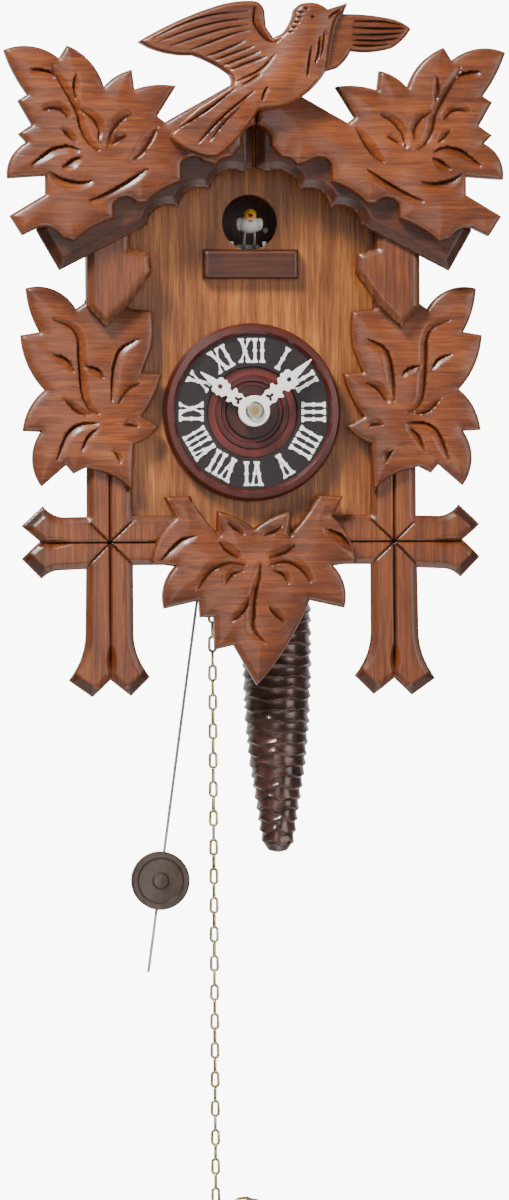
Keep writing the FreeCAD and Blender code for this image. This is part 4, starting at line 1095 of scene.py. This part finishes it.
BIRD_X = 0.3
BIRD_BODY = [(0, -47.0, -8.4, 0.5, 0.5, (-1, 0.3)), (0, -47.6, -8.2, 2.4, 1.7, (-1, 0.3)),
             (0, -48.6, -7.6, 3.7, 2.6, (-1, 0.4)), (0, -49.7, -6.8, 4.0, 3.0, (-1, 0.6)),
             (0, -50.8, -6.0, 3.4, 2.7, (-1, 0.8)), (0, -51.6, -5.3, 2.4, 2.0, (-1, 1.0)),
             (0, -52.0, -4.9, 0.8, 0.7, (-1, 1.0))]
BIRD_HEAD = [(0, -49.4, -3.4, 0.4, 0.4, (-1, 0)), (0, -49.8, -3.4, 1.3, 1.25, (-1, 0)),
             (0, -50.6, -3.5, 2.0, 1.8, (-1, 0)), (0, -51.6, -3.6, 2.15, 1.9, (-1, 0)),
             (0, -52.6, -3.8, 1.7, 1.5, (-1, 0)), (0, -53.2, -3.9, 0.9, 0.8, (-1, 0))]
BIRD_BEAK = [(0, -52.9, -4.1, 1.05, 0.75, (-1, 0)), (0, -53.9, -4.3, 0.75, 0.55, (-1, 0)),
             (0, -54.6, -4.5, 0.15, 0.12, (-1, 0))]
BIRD_THROAT = [(0, -51.9, -5.6, 0.4, 0.3, (-0.3, -1)), (0, -52.2, -6.0, 1.25, 0.7, (-0.3, -1)),
               (0, -52.1, -6.9, 1.2, 0.7, (0.3, -1)), (0, -51.6, -7.6, 0.4, 0.3, (0.3, -1))]
BIRD_WING = [(3.1, -50.9, -5.4, 0.3, 0.4, (1, -0.4)), (3.5, -50.2, -5.9, 0.95, 1.4, (1, -0.4)),
             (3.65, -49.2, -6.7, 1.0, 2.0, (1, -0.5)), (3.5, -48.0, -7.8, 0.8, 1.5, (1, -0.6)),
             (2.9, -46.8, -9.0, 0.25, 0.4, (1, -0.7))]
BIRD_LEG = [(1.6, -49.4, -8.6, 0.55, 0.55, (0, -1)), (1.7, -49.2, -11.0, 0.45, 0.45, (0, -1)),
            (1.8, -48.4, -13.0, 0.45, 0.45, (0.4, -1)), (1.8, -46.6, -14.4, 0.6, 0.6, (1, -0.6)),
            (1.8, -45.0, -14.7, 0.7, 0.6, (1, -0.1))]
FOOT_BLOCK = [(-3.9, -15.7), (3.9, -15.7), (4.0, -15.2), (4.0, -14.0), (3.7, -13.6), (-3.7, -13.6),
              (-4.0, -14.0), (-4.0, -15.2)]
FOOT_FRONT, FOOT_BACK = -45.8, -43.3


def make_little_bird():
    """The calling bird on its perch block: body, head, beak, throat, wings and legs."""
    white = painted("bird_white", (232, 230, 222), (205, 202, 192))
    yellow = painted("bird_yellow", (222, 176, 58), (196, 146, 40))
    red = painted("bird_red", (198, 44, 36), (160, 30, 26))
    grey = painted("bird_grey", (150, 150, 150), (112, 112, 112))
    blob("bird_body", BIRD_X, BIRD_BODY, white)
    blob("bird_head", BIRD_X, BIRD_HEAD, yellow)
    blob("bird_beak", BIRD_X, BIRD_BEAK, red, 16)
    blob("bird_throat", BIRD_X, BIRD_THROAT, red, 16)
    for number, hand in enumerate((-1, 1)):
        wing = [(hand * ring[0],) + ring[1:] for ring in BIRD_WING]
        leg = [(hand * ring[0],) + ring[1:] for ring in BIRD_LEG]
        blob("bird_wing_%d" % number, BIRD_X, wing, white)
        blob("bird_leg_%d" % number, BIRD_X, leg, grey, 14)
    verts, faces = prism([FOOT_BLOCK], FOOT_FRONT, FOOT_BACK)
    block = [(x * MM, y * MM, z * MM) for x, y, z in verts]
    bird_piece("bird_foot_block", block, faces, grey, False)


make_little_bird()


# ------------------------ room and light
WARM_WHITE = (1.0, 0.995, 0.98, 1.0)
SEEN_GLOW = 8.0              # extra light of the backdrop and the world as the camera sees them
WALL_Y, WALL_TOP = 0.9, 1.7
FLOOR_Z, FLOOR_FRONT = -1.5, -2.4
HALF_ROOM = 1.6


def make_room():
    """A pale wall well behind the clock, lit for itself, and a pale floor below."""
    left, right = -HALF_ROOM, HALF_ROOM
    low_edge = [(right, WALL_Y, FLOOR_Z), (left, WALL_Y, FLOOR_Z)]
    wall = low_edge[::-1] + [(right, WALL_Y, WALL_TOP), (left, WALL_Y, WALL_TOP)]
    floor = [(left, FLOOR_FRONT, FLOOR_Z), (right, FLOOR_FRONT, FLOOR_Z)] + low_edge
    for name, corners, glow in (("backdrop_wall", wall, 1.0), ("backdrop_floor", floor, 0.6)):
        mesh = mesh_of(name, corners, [(0, 1, 2, 3)])
        room = bpy.data.objects.new(name, mesh)
        scene.collection.objects.link(room)
        nodes = Nodes(name)
        cloud = nodes.noise(nodes.scaled((3, 3, 3)), 1.0)
        colour = nodes.ramp(cloud, [(0.0, (0.88, 0.88, 0.87)), (1.0, (0.92, 0.92, 0.91))])
        seen = nodes.add("ShaderNodeLightPath").outputs["Is Camera Ray"]
        strength = nodes.math("MULTIPLY_ADD", seen, SEEN_GLOW * glow, 0.25 * glow)
        nodes.link(strength, nodes.shader.inputs["Emission Strength"])
        nodes.shader.inputs["Emission Color"].default_value = WARM_WHITE
        mesh.materials.append(nodes.finish(colour, 0.9))


def area_light(name, place, target, size, power, colour=(1, 1, 1)):
    data = bpy.data.lights.new(name, "AREA")
    data.shape = "RECTANGLE"
    data.size, data.size_y = size
    data.energy = power
    data.color = colour
    lamp = bpy.data.objects.new(name, data)
    scene.collection.objects.link(lamp)
    lamp.location = place
    lamp.rotation_euler = (Vector(target) - Vector(place)).to_track_quat("-Z", "Y").to_euler()


def make_lights():
    """Soft key from the upper left, weak fills, and an even pale world."""
    centre = (0.0, -0.05, -0.1)
    area_light("key", (-0.55, -0.75, 0.75), centre, (0.3, 0.3), 27, (1.0, 0.98, 0.95))
    area_light("fill", (0.9, -0.9, 0.0), centre, (0.6, 0.8), 6, (0.98, 0.99, 1.0))
    area_light("front", (-0.2, -1.9, -0.2), centre, (0.8, 1.0), 6)
    area_light("low", (0.1, -0.5, -1.1), centre, (0.6, 0.6), 2.5)
    world = bpy.data.worlds.new("world")
    world.use_nodes = True
    tree = world.node_tree
    seen = tree.nodes.new("ShaderNodeLightPath")
    strength = tree.nodes.new("ShaderNodeMath")
    strength.operation = "MULTIPLY_ADD"
    strength.inputs[1].default_value = SEEN_GLOW
    strength.inputs[2].default_value = 0.16
    tree.links.new(seen.outputs["Is Camera Ray"], strength.inputs[0])
    tree.links.new(strength.outputs[0], tree.nodes["Background"].inputs["Strength"])
    tree.nodes["Background"].inputs["Color"].default_value = WARM_WHITE
    scene.world = world


make_room()
make_lights()
